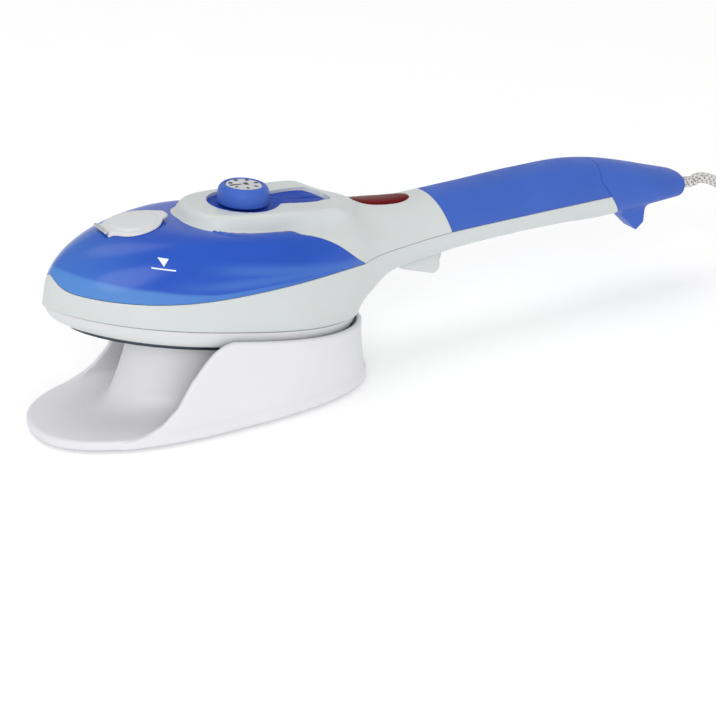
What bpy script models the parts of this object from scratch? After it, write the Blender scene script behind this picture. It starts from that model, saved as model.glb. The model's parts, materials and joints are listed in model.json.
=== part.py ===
"""Handheld garment steamer resting nose-up in its moulded stand.

World frame: +X from the stand's nose to the cord end of the handle, +Z up, the origin on the
surface under the middle of the object. The steamer is modelled in its own frame, with x from
the nose tip backwards and z up from the sole, and an empty tilts that frame on the stand.
Sizes below are in millimetres and MM turns them into metres.
"""

import math

import bmesh
import bpy
from mathutils import Matrix, Vector

MM = 0.001
GAP = 0.3  # clearance between pieces that touch

# The steamer's place on its stand
PITCH = math.radians(12.0)
STEAMER_AT = (-185.65, 0.0, 54.97)  # nose end of the sole plane

# Head: iron-shaped outlines from sole to tank top
WIDEST_X = 92.0
BODY_HALF_WIDTH = 38.6
SOLE_HALF_WIDTH = 34.0
SOLE_NOSE_X, SOLE_HEEL_X = 14.3, 163.0
SOLE_THICKNESS = 3.0
STEAM_HOLES = ((44, 12), (62, 20), (84, 24), (108, 23))  # and one at the nose
CHAMBER = (50, 134, 18)  # nose, heel and half width of the steam chamber
CHAMBER_BORE = (53, 131, 15)
SKIRT_BOTTOM, SKIRT_TOP = 2.6, 10.8
HOUSING_BOTTOM = 11.1
TANK_TOP = 55.0
NOSE_CURVE_LENGTH, NOSE_CURVE_BOTTOM = 62.0, 20.0
SIDE_CURVE_BOTTOM, SIDE_CURVE_HEIGHT, SIDE_CURVE_POWER = 24.0, 38.5, 3.4
HEEL_X = 169.5
HULL_SIDES = 44
SKIRT_WALL, HOUSING_WALL, TANK_WALL = 1.8, 2.2, 2.0

# Console and steam dial, in the console's own frame on its sloping top
CONSOLE_AT = (96.0, 0.0, 64.2)
CONSOLE_SLOPE = math.radians(6.8)
CONSOLE_FRONT, CONSOLE_BACK = -31.0, 54.0
DIAL_RADIUS, DIAL_HEIGHT = 12.4, 8.6
RECESS_RADIUS, RECESS_DEPTH = 17.6, 2.2
STRIP_END_X, STRIP_HALF_WIDTH = 36.5, 10.8

# Handle stations: x, underside, top, half width
HANDLE = (
    (140, 18.0, 62.0, 25.0),
    (156, 14.0, 64.5, 22.0),
    (168, 12.0, 66.0, 19.5),
    (177, 17.5, 67.2, 18.0),
    (184, 26.5, 68.2, 17.2),
    (192, 31.5, 69.8, 16.4),
    (205, 37.2, 73.2, 15.5),
    (220, 42.2, 76.7, 15.1),
    (255, 50.7, 85.0, 15.0),
    (290, 57.5, 91.4, 15.0),
    (306, 60.0, 92.0, 15.0),
    (326, 64.0, 90.4, 14.6),
    (345, 68.8, 88.5, 13.6),
    (358, 72.2, 87.4, 12.2),
    (366, 75.0, 86.0, 10.2),
    (370, 78.0, 84.6, 7.2),
)
HANDLE_WALL = 2.2
GLAND_Z = 81.2
TRIGGER_PIVOT = (190.5, 0.0, 37.5)
PUMP_X = 206.0
SUCTION_Z, DELIVERY_Z = 62.4, 58.8

# Stand
STAND_NOSE_X, STAND_MIDDLE = -193.0, 88.0
STAND_REAR_LENGTH, STAND_HALF_WIDTH = 86.0, 44.5
FOOT_HEIGHT, PLATE_TOP, STAND_WALL = 1.5, 6.2, 2.6
FOOT_RADIUS = 4.6
RIM_HEIGHT = 7.4  # above the sole plane

# Cord, coil and plug on the surface behind the handle
CORD_RADIUS = 3.0
COIL_CENTRE = (310.0, 1.0)
COIL_INNER, COIL_OUTER, COIL_HEIGHT = 24.0, 42.2, 18.4
PLUG_TILT = math.radians(18.0)
PLUG_AT = (COIL_CENTRE[0] + COIL_OUTER + 3.6, COIL_CENTRE[1] + 14.0, 4.1)


# ---------------------------------------------------------------- scene helpers
def clear_scene():
    for item in list(bpy.data.objects):
        bpy.data.objects.remove(item, do_unlink=True)


def new_collection(name):
    collection = bpy.data.collections.new(name)
    bpy.context.scene.collection.children.link(collection)
    return collection


def material(name, colour, roughness, metallic=0.0):
    mat = bpy.data.materials.new(name)
    mat.use_nodes = True
    shader = mat.node_tree.nodes["Principled BSDF"]
    shader.inputs["Base Color"].default_value = (*colour, 1.0)
    shader.inputs["Roughness"].default_value = roughness
    shader.inputs["Metallic"].default_value = metallic
    return mat


clear_scene()
PARTS = new_collection("handheld_steamer")
CUTTERS = new_collection("cutters")

WHITE = (0.80, 0.81, 0.83)
LIGHT_GREY = (0.68, 0.71, 0.71)
BLUE = (0.045, 0.10, 0.60)
DARK_BLUE = (0.02, 0.04, 0.42)
TANK_BLUE = (0.05, 0.16, 0.65)
DARK_RED = (0.22, 0.005, 0.01)
ALUMINIUM = (0.62, 0.63, 0.65)
BRASS = (0.65, 0.48, 0.20)
STEEL = (0.50, 0.50, 0.51)
RUBBER = (0.05, 0.05, 0.055)
SILICONE = (0.55, 0.16, 0.10)
CERAMIC = (0.75, 0.72, 0.66)
BRAID = (0.62, 0.60, 0.56)
PALE_TUBE = (0.8, 0.85, 0.85)


def empty(name, place, pitch=0.0, parent=None):
    item = bpy.data.objects.new(name, None)
    item.location = Vector(place) * MM
    item.rotation_euler = (0.0, pitch, 0.0)
    item.parent = parent
    item.empty_display_size = 0.02
    PARTS.objects.link(item)
    return item


STEAMER = empty("steamer_frame", STEAMER_AT, PITCH)
CONSOLE = empty("console_frame", CONSOLE_AT, -CONSOLE_SLOPE, STEAMER)


def add(name, mesh, colour, roughness=0.4, metallic=0.0, parent=None, at=(0, 0, 0)):
    """Puts a mesh or curve in the parts as a node, placed in its parent's frame."""
    item = bpy.data.objects.new(name, mesh)
    item.parent = parent
    item.location = Vector(at) * MM
    mesh.materials.append(material(name, colour, roughness, metallic))
    PARTS.objects.link(item)
    return item


def smooth(item, angle=math.radians(35)):
    item.data.shade_smooth()
    item.data.set_sharp_from_angle(angle=angle)
    return item


def solidify(item, thickness, offset=-1.0):
    modifier = item.modifiers.new("wall", "SOLIDIFY")
    modifier.thickness = thickness * MM
    modifier.offset = offset
    return item


def boolean(item, other, operation="DIFFERENCE"):
    modifier = item.modifiers.new(operation.lower(), "BOOLEAN")
    modifier.operation = operation
    modifier.solver = "EXACT"
    modifier.object = other
    return item


def cutter(name, mesh, parent=None, at=(0, 0, 0), turn=(0, 0, 0)):
    item = bpy.data.objects.new(name, mesh)
    item.parent = parent
    item.location = Vector(at) * MM
    item.rotation_euler = turn
    item.hide_render = True
    item.display_type = "WIRE"
    CUTTERS.objects.link(item)
    return item


# ---------------------------------------------------------------- mesh helpers
def finish_mesh(bm, name):
    bmesh.ops.recalc_face_normals(bm, faces=bm.faces)
    mesh = bpy.data.meshes.new(name)
    bm.to_mesh(mesh)
    bm.free()
    return mesh


def grid_mesh(name, rows, ring=True, capped=True, loop=False, ladder=False):
    """A loft through rows of points (mm): rings with end caps, an open sheet, or a closed loop.

    A ladder closes ends that aren't flat, on rings that are alike on both sides of y = 0.
    """
    bm = bmesh.new()
    grid = [[bm.verts.new(Vector(point) * MM) for point in row] for row in rows]
    count = len(grid[0])
    pairs = list(zip(grid, grid[1:])) + ([(grid[-1], grid[0])] if loop else [])
    for lower, upper in pairs:
        for i in range(count if ring else count - 1):
            j = (i + 1) % count
            bm.faces.new((lower[i], lower[j], upper[j], upper[i]))
    if ring and capped and not loop:
        for end in (grid[0], grid[-1]):
            if ladder:
                ladder_cap(bm, end)
            else:
                bm.faces.new(end)
    return finish_mesh(bm, name)


def ladder_cap(bm, ring):
    """Closes a ring with strips between the points at equal steps from its first point."""
    count = len(ring)
    for i in range(count // 2):
        corners = (ring[i], ring[i + 1], ring[(count - i - 1) % count], ring[(count - i) % count])
        bm.faces.new(list(dict.fromkeys(corners)))


def band_mesh(name, outer, inner):
    """A wall with an outer and an inner skin, each given as rows of rings."""
    return grid_mesh(name, [*outer, *reversed(inner)], loop=True)


def box_mesh(name, low, high):
    bm = bmesh.new()
    size = [(b - a) * MM for a, b in zip(low, high)]
    centre = [(a + b) * MM / 2 for a, b in zip(low, high)]
    bmesh.ops.create_cube(bm, size=1.0)
    bmesh.ops.scale(bm, vec=size, verts=bm.verts)
    bmesh.ops.translate(bm, vec=centre, verts=bm.verts)
    return finish_mesh(bm, name)


def round_mesh(name, radius, length, segments=16, axis="Z", top_radius=None, at=(0, 0, 0)):
    """A cylinder or cone that starts at a point and runs along +X, +Y or +Z."""
    bm = bmesh.new()
    bmesh.ops.create_cone(
        bm,
        cap_ends=True,
        segments=segments,
        radius1=radius * MM,
        radius2=(radius if top_radius is None else top_radius) * MM,
        depth=length * MM,
        matrix=Matrix.Translation((0, 0, length * MM / 2)),
    )
    turn = {"X": (math.pi / 2, "Y"), "Y": (-math.pi / 2, "X"), "Z": (0.0, "Z")}[axis]
    bmesh.ops.rotate(bm, matrix=Matrix.Rotation(turn[0], 3, turn[1]), verts=bm.verts)
    bmesh.ops.translate(bm, vec=Vector(at) * MM, verts=bm.verts)
    return finish_mesh(bm, name)


def plate_mesh(name, outline, low, high):
    """An outline of (x, y) points raised between two heights."""
    return grid_mesh(name, [[(x, y, z) for x, y in outline] for z in (low, high)])


def fin_mesh(name, profile, half_width):
    """A side profile of (x, z) points with a width across y."""
    return grid_mesh(name, [[(x, y, z) for x, z in profile] for y in (-half_width, half_width)])


def turned_mesh(name, profile, segments=28):
    """A closed (radius, z) profile turned about z; radii above zero make a ring."""
    rows = []
    for k in range(segments):
        angle = 2 * math.pi * k / segments
        rows.append([(r * math.cos(angle), r * math.sin(angle), z) for r, z in profile])
    bm = bmesh.new()
    grid = [[bm.verts.new(Vector(point) * MM) for point in row] for row in rows]
    count = len(profile)
    for k in range(segments):
        this, after = grid[k], grid[(k + 1) % segments]
        for i in range(count):
            j = (i + 1) % count
            if profile[i][0] or profile[j][0]:
                bm.faces.new((this[i], after[i], after[j], this[j]))
    bmesh.ops.remove_doubles(bm, verts=bm.verts, dist=1e-6)
    return finish_mesh(bm, name)


def tube(name, points, radius, colour, roughness=0.5, metallic=0.0, parent=None, sides=2):
    """A wire or pipe along points, with filled caps."""
    curve = bpy.data.curves.new(name, "CURVE")
    curve.dimensions = "3D"
    curve.bevel_depth = radius * MM
    curve.bevel_resolution = sides
    curve.use_fill_caps = True
    spline = curve.splines.new("POLY")
    spline.points.add(len(points) - 1)
    for knot, point in zip(spline.points, points):
        knot.co = (*(Vector(point) * MM), 1.0)
    return add(name, curve, colour, roughness, metallic, parent)


def spline_points(route, step):
    """Points a step apart along a Catmull-Rom curve through a route."""
    route = [Vector(p) for p in route]
    ends = [2 * route[0] - route[1], *route, 2 * route[-1] - route[-2]]
    fine = []
    for a, b, c, d in zip(ends, ends[1:], ends[2:], ends[3:]):
        for k in range(24):
            t = k / 24
            fine.append(
                0.5
                * (
                    2 * b
                    + (c - a) * t
                    + (2 * a - 5 * b + 4 * c - d) * t * t
                    + (3 * b - a - 3 * c + d) * t**3
                )
            )
    fine.append(route[-1])
    total = sum((q - p).length for p, q in zip(fine, fine[1:]))
    count = max(2, round(total / step))
    spacing, walked, result = total / count, 0.0, [fine[0]]
    for p, q in zip(fine, fine[1:]):
        length = (q - p).length
        while walked + length >= spacing * len(result) and len(result) < count:
            result.append(p.lerp(q, (spacing * len(result) - walked) / length))
        walked += length
    return [*result, fine[-1]]


# ---------------------------------------------------------------- head shapes
def smoothstep(t):
    t = min(1.0, max(0.0, t))
    return t * t * (3 - 2 * t)


def half_width(x, nose, heel, widest):
    """Half width of an iron-shaped outline at x."""
    if x <= WIDEST_X:
        ahead = min(1.0, (WIDEST_X - x) / (WIDEST_X - nose))
        return widest * (1 - ahead**2.6) ** 0.65
    behind = min(1.0, (x - WIDEST_X) / (heel - WIDEST_X))
    return widest * (1 - behind**2.4) ** 0.63


def iron_outline(nose, heel, widest, count=36, start=0.0, stop=2 * math.pi):
    """Points round the outline by angle: 0 at the heel, half a turn at the nose."""
    whole = stop - start > 2 * math.pi - 1e-6
    points = []
    for k in range(count):
        angle = start + (stop - start) * k / (count if whole else count - 1)
        reach = heel - WIDEST_X if math.cos(angle) > 0 else WIDEST_X - nose
        x = WIDEST_X + reach * math.cos(angle)
        side = math.copysign(1.0, math.sin(angle))
        points.append((x, side * half_width(x, nose, heel, widest)))
    return points


def hull_size(z):
    """Nose x, heel x and half width of the head at a height."""
    rise = max(0.0, z - NOSE_CURVE_BOTTOM) / (TANK_TOP + 0.01 - NOSE_CURVE_BOTTOM)
    nose = NOSE_CURVE_LENGTH * (1 - math.sqrt(max(0.0, 1 - rise**2)))
    lean = max(0.0, z - SIDE_CURVE_BOTTOM) / SIDE_CURVE_HEIGHT
    width = BODY_HALF_WIDTH * (1 - lean**SIDE_CURVE_POWER) ** (1 / SIDE_CURVE_POWER)
    return nose, HEEL_X + 6.0 * smoothstep((z - 8) / 30), width


def hull_ring(z, inset=0.0, count=36):
    nose, heel, width = hull_size(z)
    outline = iron_outline(nose + inset, heel - inset, width - inset, count)
    return [(x, y, z) for x, y in outline]


def tank_edge(x):
    """Height of the line where the tank meets the lower housing."""
    return 21.5 + 19.3 * smoothstep((max(x, 0.0) / 158) ** 1.3)


def hull_band(bottom, top, levels, inset=0.0, count=36):
    """Rings that climb the head between two heights given for each x."""
    foot = hull_ring(SIDE_CURVE_BOTTOM, inset, count)
    rows = []
    for level in levels:
        row = []
        for i, (x, _, _) in enumerate(foot):
            z = bottom(x) + (top(x) - bottom(x)) * level
            row.append(hull_ring(z, inset, count)[i])
        rows.append(row)
    return rows


def make_sole():
    rows = []
    for z, inset in ((0.0, 1.4), (1.2, 0.2), (SOLE_THICKNESS, 0.0)):
        ends = SOLE_NOSE_X + inset, SOLE_HEEL_X - inset
        outline = iron_outline(*ends, SOLE_HALF_WIDTH - inset, 40)
        rows.append([(x, y, z) for x, y in outline])
    sole = add("soleplate", grid_mesh("soleplate", rows), (0.10, 0.11, 0.13), 0.3, 0.8, STEAMER)
    holes = [(30, 0)] + [(x, side * y) for x, y in STEAM_HOLES for side in (1, -1)]
    for k, (x, y) in enumerate(holes):
        hole = round_mesh("steam_hole", 1.8, 8.0, 8, at=(x, y, -2))
        boolean(sole, cutter(f"steam_hole_{k}", hole, STEAMER))
    slab = [
        [(x, y, z) for x, y in iron_outline(20, 159, 31, 28)]
        for z in (SOLE_THICKNESS + GAP, 6.6)
    ]
    mesh = grid_mesh("heater_casting", slab)
    casting = add("heater_casting", mesh, ALUMINIUM, 0.45, 0.9, STEAMER)
    wall = plate_mesh("chamber_wall", iron_outline(*CHAMBER, 24), 5.0, 12.2)
    pocket = plate_mesh("chamber_pocket", iron_outline(*CHAMBER_BORE, 24), 6.6, 14.0)
    boolean(casting, cutter("chamber_wall", wall, STEAMER), "UNION")
    boolean(casting, cutter("chamber_pocket", pocket, STEAMER))


def make_chamber():
    ring_low, ring_high = 12.5, 13.2
    outer = plate_mesh("chamber_gasket", iron_outline(*CHAMBER, 24), ring_low, ring_high)
    inner = iron_outline(*CHAMBER_BORE, 24)
    opening = plate_mesh("gasket_opening", inner, ring_low - 1, ring_high + 1)
    gasket = add("chamber_gasket", outer, SILICONE, 0.7, 0.0, STEAMER)
    boolean(gasket, cutter("gasket_opening", opening, STEAMER))
    lid = plate_mesh("steam_chamber_cover", iron_outline(*CHAMBER, 24), 13.5, 14.8)
    cover = add("steam_chamber_cover", lid, ALUMINIUM, 0.4, 0.9, STEAMER)
    boolean(cover, VALVE_BORE)
    inlet = round_mesh("pump_inlet", 2.4, 10, 12, at=(120, 8, 9))
    boolean(cover, cutter("pump_inlet", inlet, STEAMER))
    route = iron_outline(31, 152, 25, 30, math.radians(40), math.radians(320))
    tube("heating_element", [(x, y, 10.1) for x, y in route], 3.2, STEEL, 0.45, 0.9, STEAMER)
    body = turned_mesh("thermostat", [(0, 0), (7.5, 0), (7.5, 6), (6.5, 7.5), (0, 7.5)], 20)
    add("thermostat", body, CERAMIC, 0.5, 0.0, STEAMER, (147, 0, 6.9))
    fuse = round_mesh("thermal_fuse", 2.0, 12.0, 10, "Y", at=(0, -6, 0))
    add("thermal_fuse", fuse, BRASS, 0.35, 0.8, STEAMER, (136.9, 0, 17.2))


def skirt_rows(inset):
    rows = []
    for z, nose, heel, width in (
        (SKIRT_BOTTOM, 10.0, 167.0, 36.6),
        (6.0, 4.6, 168.6, 37.9),
        (SKIRT_TOP, 1.2, HEEL_X, 38.5),
    ):
        outline = iron_outline(nose + inset, heel - inset, width - inset, 40)
        rows.append([(x, y, z) for x, y in outline])
    return rows


def make_skirt():
    skirt = band_mesh("heat_shield_skirt", skirt_rows(0.0), skirt_rows(SKIRT_WALL))
    smooth(add("heat_shield_skirt", skirt, LIGHT_GREY, 0.4, 0.0, STEAMER))


def make_lower_housing():
    levels = (0, 0.33, 0.66, 1)
    skins = []
    for inset in (0.0, HOUSING_WALL):
        ends = (lambda x: HOUSING_BOTTOM, lambda x: tank_edge(x) - GAP / 2)
        skins.append(hull_band(*ends, levels, inset, HULL_SIDES))
    shell = band_mesh("lower_housing", *skins)
    housing = add("lower_housing", shell, LIGHT_GREY, 0.35, 0.0, STEAMER)
    boolean(housing, NECK_WINDOW)


def tank_roof(x):
    """Height of the tank's roof where it slopes down behind the console to the tail."""
    return 56.5 - 0.331 * (x - 112)


def tail_cutter(name, drop):
    profile = [(x, tank_roof(x) - drop) for x in (100, 157, 220)] + [(220, 90), (100, 90)]
    return cutter(name, fin_mesh(name, profile, 60), STEAMER)


def make_tank():
    levels = (0, 0.25, 0.5, 0.72, 0.88, 1)
    ends = (lambda x: tank_edge(x) + GAP / 2, lambda x: TANK_TOP)
    rows = hull_band(*ends, levels, count=HULL_SIDES)
    shell = grid_mesh("water_tank", rows, ladder=True)
    tank = add("water_tank", shell, TANK_BLUE, 0.12, 0.0, STEAMER)
    ends = (lambda x: tank_edge(x) + TANK_WALL, lambda x: TANK_TOP - TANK_WALL)
    hollow_rows = hull_band(*ends, (0, 0.35, 0.7, 1), TANK_WALL)
    hollow = cutter("tank_hollow", grid_mesh("tank_hollow", hollow_rows, ladder=True), STEAMER)
    boolean(hollow, tail_cutter("tank_hollow_tail", TANK_WALL))
    boolean(tank, hollow)
    boolean(tank, tail_cutter("tank_tail", 0.0))
    boolean(tank, VALVE_BORE)
    mouth = round_mesh("filler_mouth", 10.9, 20, 24, at=(CAP_MIDDLE_X, 0, TANK_TOP - 14))
    boolean(tank, cutter("filler_mouth", mouth, STEAMER))


def hull_top(x, y):
    """Height of the head's outer surface above a point."""
    low, high = SIDE_CURVE_BOTTOM, TANK_TOP
    for _ in range(30):
        middle = (low + high) / 2
        nose, heel, width = hull_size(middle)
        inside = nose < x < heel and half_width(x, nose, heel, width) > abs(y)
        low, high = (middle, high) if inside else (low, middle)
    return low


# ---------------------------------------------------------------- filler cap
CAP_HINGE_X, CAP_TIP_X = 24.0, 57.0
CAP_MIDDLE_X, CAP_RADIUS = 39.5, 15.0
CAP_THICKNESS = 1.8


def cap_half_width(x):
    """The cap is straight at its hinge, round in the middle and narrow at its finger tab."""
    disc = CAP_RADIUS * math.sqrt(max(0.0, 1 - ((x - CAP_MIDDLE_X) / CAP_RADIUS) ** 2))
    band = 7.5 if x < CAP_MIDDLE_X else 4.6
    return max(disc, band)


def make_filler():
    rows = []
    for k in range(12):
        x = CAP_HINGE_X + 1.2 + (CAP_TIP_X - CAP_HINGE_X - 1.2) * k / 11
        half = cap_half_width(x)
        lift = 1.0 + 2.2 * smoothstep((x - 47) / 8)
        rows.append([(x, half * s / 4, hull_top(x, half * s / 4) + lift) for s in range(-4, 5)])
    flap = grid_mesh("filler_cap", rows, ring=False)
    solidify(add("filler_cap", flap, WHITE, 0.35, 0.0, STEAMER), CAP_THICKNESS, 1.0)
    top = hull_top(CAP_MIDDLE_X, 0)
    ring = turned_mesh("filler_neck", [(8.6, -6), (10.6, -6), (10.6, -2.6), (8.6, -2.6)], 24)
    add("filler_neck", ring, TANK_BLUE, 0.2, 0.0, STEAMER, (CAP_MIDDLE_X, 0, top))
    seal_profile = [(0, -4.4), (6.2, -4.4), (7.0, -3.2), (7.0, -1.2), (0, -1.2)]
    seal = turned_mesh("filler_seal", seal_profile, 20)
    add("filler_seal", seal, SILICONE, 0.7, 0.0, STEAMER, (CAP_MIDDLE_X, 0, top))
    pin = round_mesh("cap_hinge_pin", 0.9, 13.0, 10, "Y", at=(0, -6.5, 0))
    pin_place = (CAP_HINGE_X - 0.6, 0, hull_top(CAP_HINGE_X, 0) + 1.6)
    add("cap_hinge_pin", pin, STEEL, 0.3, 0.9, STEAMER, pin_place)


# ---------------------------------------------------------------- console and dial
def console_half_width(x):
    """Half width of the console at x in its own frame."""
    middle = (CONSOLE_FRONT + CONSOLE_BACK) / 2
    reach = (CONSOLE_BACK - CONSOLE_FRONT) / 2
    place = min(1.0, abs(x - middle) / reach)
    return (22.4 + 2.0 * (x / CONSOLE_BACK)) * (1 - place**4.2) ** 0.5


def console_outline(grow, count=32):
    middle = (CONSOLE_FRONT + CONSOLE_BACK) / 2
    reach = (CONSOLE_BACK - CONSOLE_FRONT) / 2
    points = []
    for k in range(count):
        angle = 2 * math.pi * (k + 0.5) / count
        x = middle + reach * math.copysign(abs(math.cos(angle)) ** 0.55, math.cos(angle))
        y = math.copysign(console_half_width(x), math.sin(angle))
        points.append((x * (1 + grow / 44), y * (1 + grow / 22)))
    return points


def keyhole(grow=0.0):
    """Trim recess: a disc round the dial that runs into a narrow round-ended strip."""
    radius, neck, back = RECESS_RADIUS + grow, STRIP_HALF_WIDTH + grow, STRIP_END_X
    waist = (19.0, neck - 1.6)
    turns = [k * math.pi / 8 for k in range(5)]
    side = [(back + neck * math.cos(a), neck * math.sin(a)) for a in turns]
    side.append(waist)
    start = math.radians(47)
    for k in range(10):
        angle = start + (math.pi - start) * k / 9
        side.append((radius * math.cos(angle), radius * math.sin(angle)))
    return side + [(x, -y) for x, y in side[-2:0:-1]]


def make_console():
    rows = []
    for z, grow in ((-10.5, 3.0), (-5.0, 1.6), (-1.2, 0.5), (0.0, -0.8)):
        rows.append([(x, y, z) for x, y in console_outline(grow)])
    console = add("console_cover", grid_mesh("console_cover", rows), LIGHT_GREY, 0.4, 0.0, CONSOLE)
    hollow = plate_mesh("console_hollow", console_outline(-2.6), -12, -3.6)
    boolean(console, cutter("console_hollow", hollow, CONSOLE))
    recess = plate_mesh("trim_recess", keyhole(), -RECESS_DEPTH, 3)
    boolean(console, cutter("trim_recess", recess, CONSOLE))
    boolean(console, HEAD_ENVELOPE)
    boolean(console, VALVE_BORE)
    trim = plate_mesh("dial_trim_plate", keyhole(-GAP), -RECESS_DEPTH + GAP, -0.9)
    plate = add("dial_trim_plate", trim, DARK_BLUE, 0.25, 0.0, CONSOLE)
    boolean(plate, VALVE_BORE)


def make_dial():
    hub, skirt = 4.2, -0.4
    profile = [
        (3.0, -6.0),
        (hub, -6.0),
        (hub, skirt),
        (DIAL_RADIUS, skirt),
        (DIAL_RADIUS, DIAL_HEIGHT - 2.6),
        (DIAL_RADIUS - 0.8, DIAL_HEIGHT - 0.9),
        (DIAL_RADIUS - 2.2, DIAL_HEIGHT),
        (9.2, DIAL_HEIGHT),
        (9.2, DIAL_HEIGHT - 1.2),
        (0, DIAL_HEIGHT - 1.2),
        (0, 4.4),
        (3.0, 4.4),
    ]
    smooth(add("steam_dial", turned_mesh("steam_dial", profile), BLUE, 0.3, 0.0, CONSOLE))
    disc = turned_mesh("dial_disc", [(0, 0), (8.8, 0), (8.8, 0.9), (0, 0.9)], 28)
    add("dial_disc", disc, (0.7, 0.7, 0.72), 0.25, 0.6, CONSOLE, (0, 0, DIAL_HEIGHT - 0.9))
    needle = [(0, -44), (1.2, -42), (2.4, -38), (2.4, 1.0), (0, 1.0)]
    add("valve_needle", turned_mesh("valve_needle", needle, 14), BRASS, 0.3, 0.9, CONSOLE)
    guide = [(3.0, -37), (6.0, -37), (6.0, -7.2), (3.0, -7.2)]
    add("valve_guide", turned_mesh("valve_guide", guide, 18), WHITE, 0.4, 0.0, CONSOLE)
    seat = [(1.6, -46.5), (5.2, -46.5), (5.2, -37.4), (3.0, -37.4), (2.9, -40.0)]
    add("valve_seat", turned_mesh("valve_seat", seat, 18), BRASS, 0.3, 0.9, CONSOLE)


# ---------------------------------------------------------------- neck and handle
def station(x):
    """Underside, top and half width of the handle at x, on a smooth curve through HANDLE."""
    last = len(HANDLE) - 1
    i = max(0, min(last - 1, sum(x > row[0] for row in HANDLE[1:])))
    a, b = HANDLE[i], HANDLE[i + 1]
    before, after = HANDLE[max(0, i - 1)], HANDLE[min(last, i + 2)]
    span = b[0] - a[0]
    t = (x - a[0]) / span
    values = []
    for k in (1, 2, 3):
        leave = (b[k] - before[k]) / (b[0] - before[0]) * span
        arrive = (after[k] - a[k]) / (after[0] - a[0]) * span
        values.append(
            a[k] * (1 + 2 * t) * (1 - t) ** 2
            + leave * t * (1 - t) ** 2
            + b[k] * t * t * (3 - 2 * t)
            - arrive * t * t * (1 - t)
        )
    return values


def handle_point(x, angle, inset=0.0):
    """Point on the handle's skin: angle 0 on the far side, a quarter turn at the top."""
    bottom, top, width = station(x)
    c, s = math.cos(angle), math.sin(angle)
    y = (width - inset) * math.copysign(abs(c) ** (2 / 2.4), c)
    z = (top + bottom) / 2 + ((top - bottom) / 2 - inset) * math.copysign(abs(s) ** (2 / 2.4), s)
    return (x, y, z)


def parting_angle(x):
    """Angle of the line between the upper covers and the lower shell."""
    return math.radians(2 - 10 * smoothstep((x - 170) / 45))


def grip_front(angle):
    return 204.5 - 6.5 * math.sin(angle)


def cap_front(angle):
    """The end cap's edge leans from the top forwards to the underside backwards."""
    return 310.5 - 8.5 * math.sin(angle)


def handle_sheet(front, back, upper, columns, turns=12, gap=GAP / 2):
    """An open strip of the handle's skin, above or below the parting line."""
    rows = []
    for k in range(columns + 1):
        row = []
        for j in range(turns + 1):
            guess = -math.pi * j / turns if not upper else math.pi * j / turns
            x = front(guess) + (back(guess) - front(guess)) * k / columns
            part = parting_angle(x)
            shift = gap / 15
            if upper:
                angle = part + shift + (math.pi - 2 * (part + shift)) * j / turns
            else:
                angle = part - shift - (math.pi + 2 * (part - shift)) * j / turns
            row.append(handle_point(x, angle))
        rows.append(row)
    return rows


def make_handle():
    lower = handle_sheet(lambda a: 160.0, lambda a: cap_front(a) - GAP, False, 14, 14)
    shell = grid_mesh("handle_lower_shell", lower, ring=False)
    lower_shell = add("handle_lower_shell", shell, LIGHT_GREY, 0.35, 0.0, STEAMER)
    solidify(lower_shell, HANDLE_WALL)
    boolean(lower_shell, HEAD_ENVELOPE)
    slot = box_mesh("trigger_slot", (185.0, -5.6, 20.0), (219.5, 5.6, 46.5))
    boolean(lower_shell, cutter("trigger_slot", slot, STEAMER))

    upper = handle_sheet(lambda a: 149.4, lambda a: grip_front(a) - GAP, True, 8, 14)
    shell = grid_mesh("neck_upper_cover", upper, ring=False)
    neck = solidify(add("neck_upper_cover", shell, LIGHT_GREY, 0.35, 0.0, STEAMER), HANDLE_WALL)
    boolean(neck, HEAD_ENVELOPE)
    boolean(neck, CONSOLE_ENVELOPE)
    seat = box_mesh("lens_seat", (158.0, -6.0, 60.0), (187.0, 6.0, 80.0))
    boolean(neck, cutter("lens_seat", seat, STEAMER))

    grip = handle_sheet(grip_front, lambda a: cap_front(a) - GAP, True, 8, 14)
    shell = grid_mesh("grip_cover", grip, ring=False)
    solidify(add("grip_cover", shell, BLUE, 0.45, 0.0, STEAMER), HANDLE_WALL)


def make_end_cap():
    rows = []
    stops = (0, 0.2, 0.4, 0.6, 0.8, 0.93, 1.0)
    for stop in stops:
        row = []
        for j in range(24):
            angle = 2 * math.pi * j / 24
            start = cap_front(angle)
            row.append(handle_point(start + (370.0 - start) * stop, angle))
        rows.append(row)
    bm = bmesh.new()
    bm.from_mesh(grid_mesh("end_cap", rows, capped=False))
    rim = [v for v in bm.verts if v.co.x > 369.9 * MM]
    bm.faces.new(sorted(rim, key=lambda v: math.atan2(v.co.z - 81.3 * MM, v.co.y)))
    skin = finish_mesh(bm, "end_cap")
    cap = solidify(add("end_cap", skin, BLUE, 0.45, 0.0, STEAMER), HANDLE_WALL)
    hook = [(327, 66.5), (331, 61.5), (343.2, 54.6), (347.4, 60.0), (344.6, 70.5), (334, 69.5)]
    boolean(cap, cutter("hook", fin_mesh("hook", hook, 6.5), STEAMER), "UNION")
    bore = round_mesh("gland_bore", 4.6, 40, 16, "X", at=(346, 0, GLAND_Z))
    boolean(cap, cutter("gland_bore", bore, STEAMER))
    gland_profile = [(3.3, -20), (4.2, -20), (4.2, 0), (3.5, 4), (3.3, 4)]
    gland = turned_mesh("cord_gland", gland_profile, 16)
    item = add("cord_gland", gland, (0.03, 0.05, 0.30), 0.6, 0.0, STEAMER, (370.5, 0, GLAND_Z))
    item.rotation_euler = (0.0, math.pi / 2, 0.0)


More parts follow.
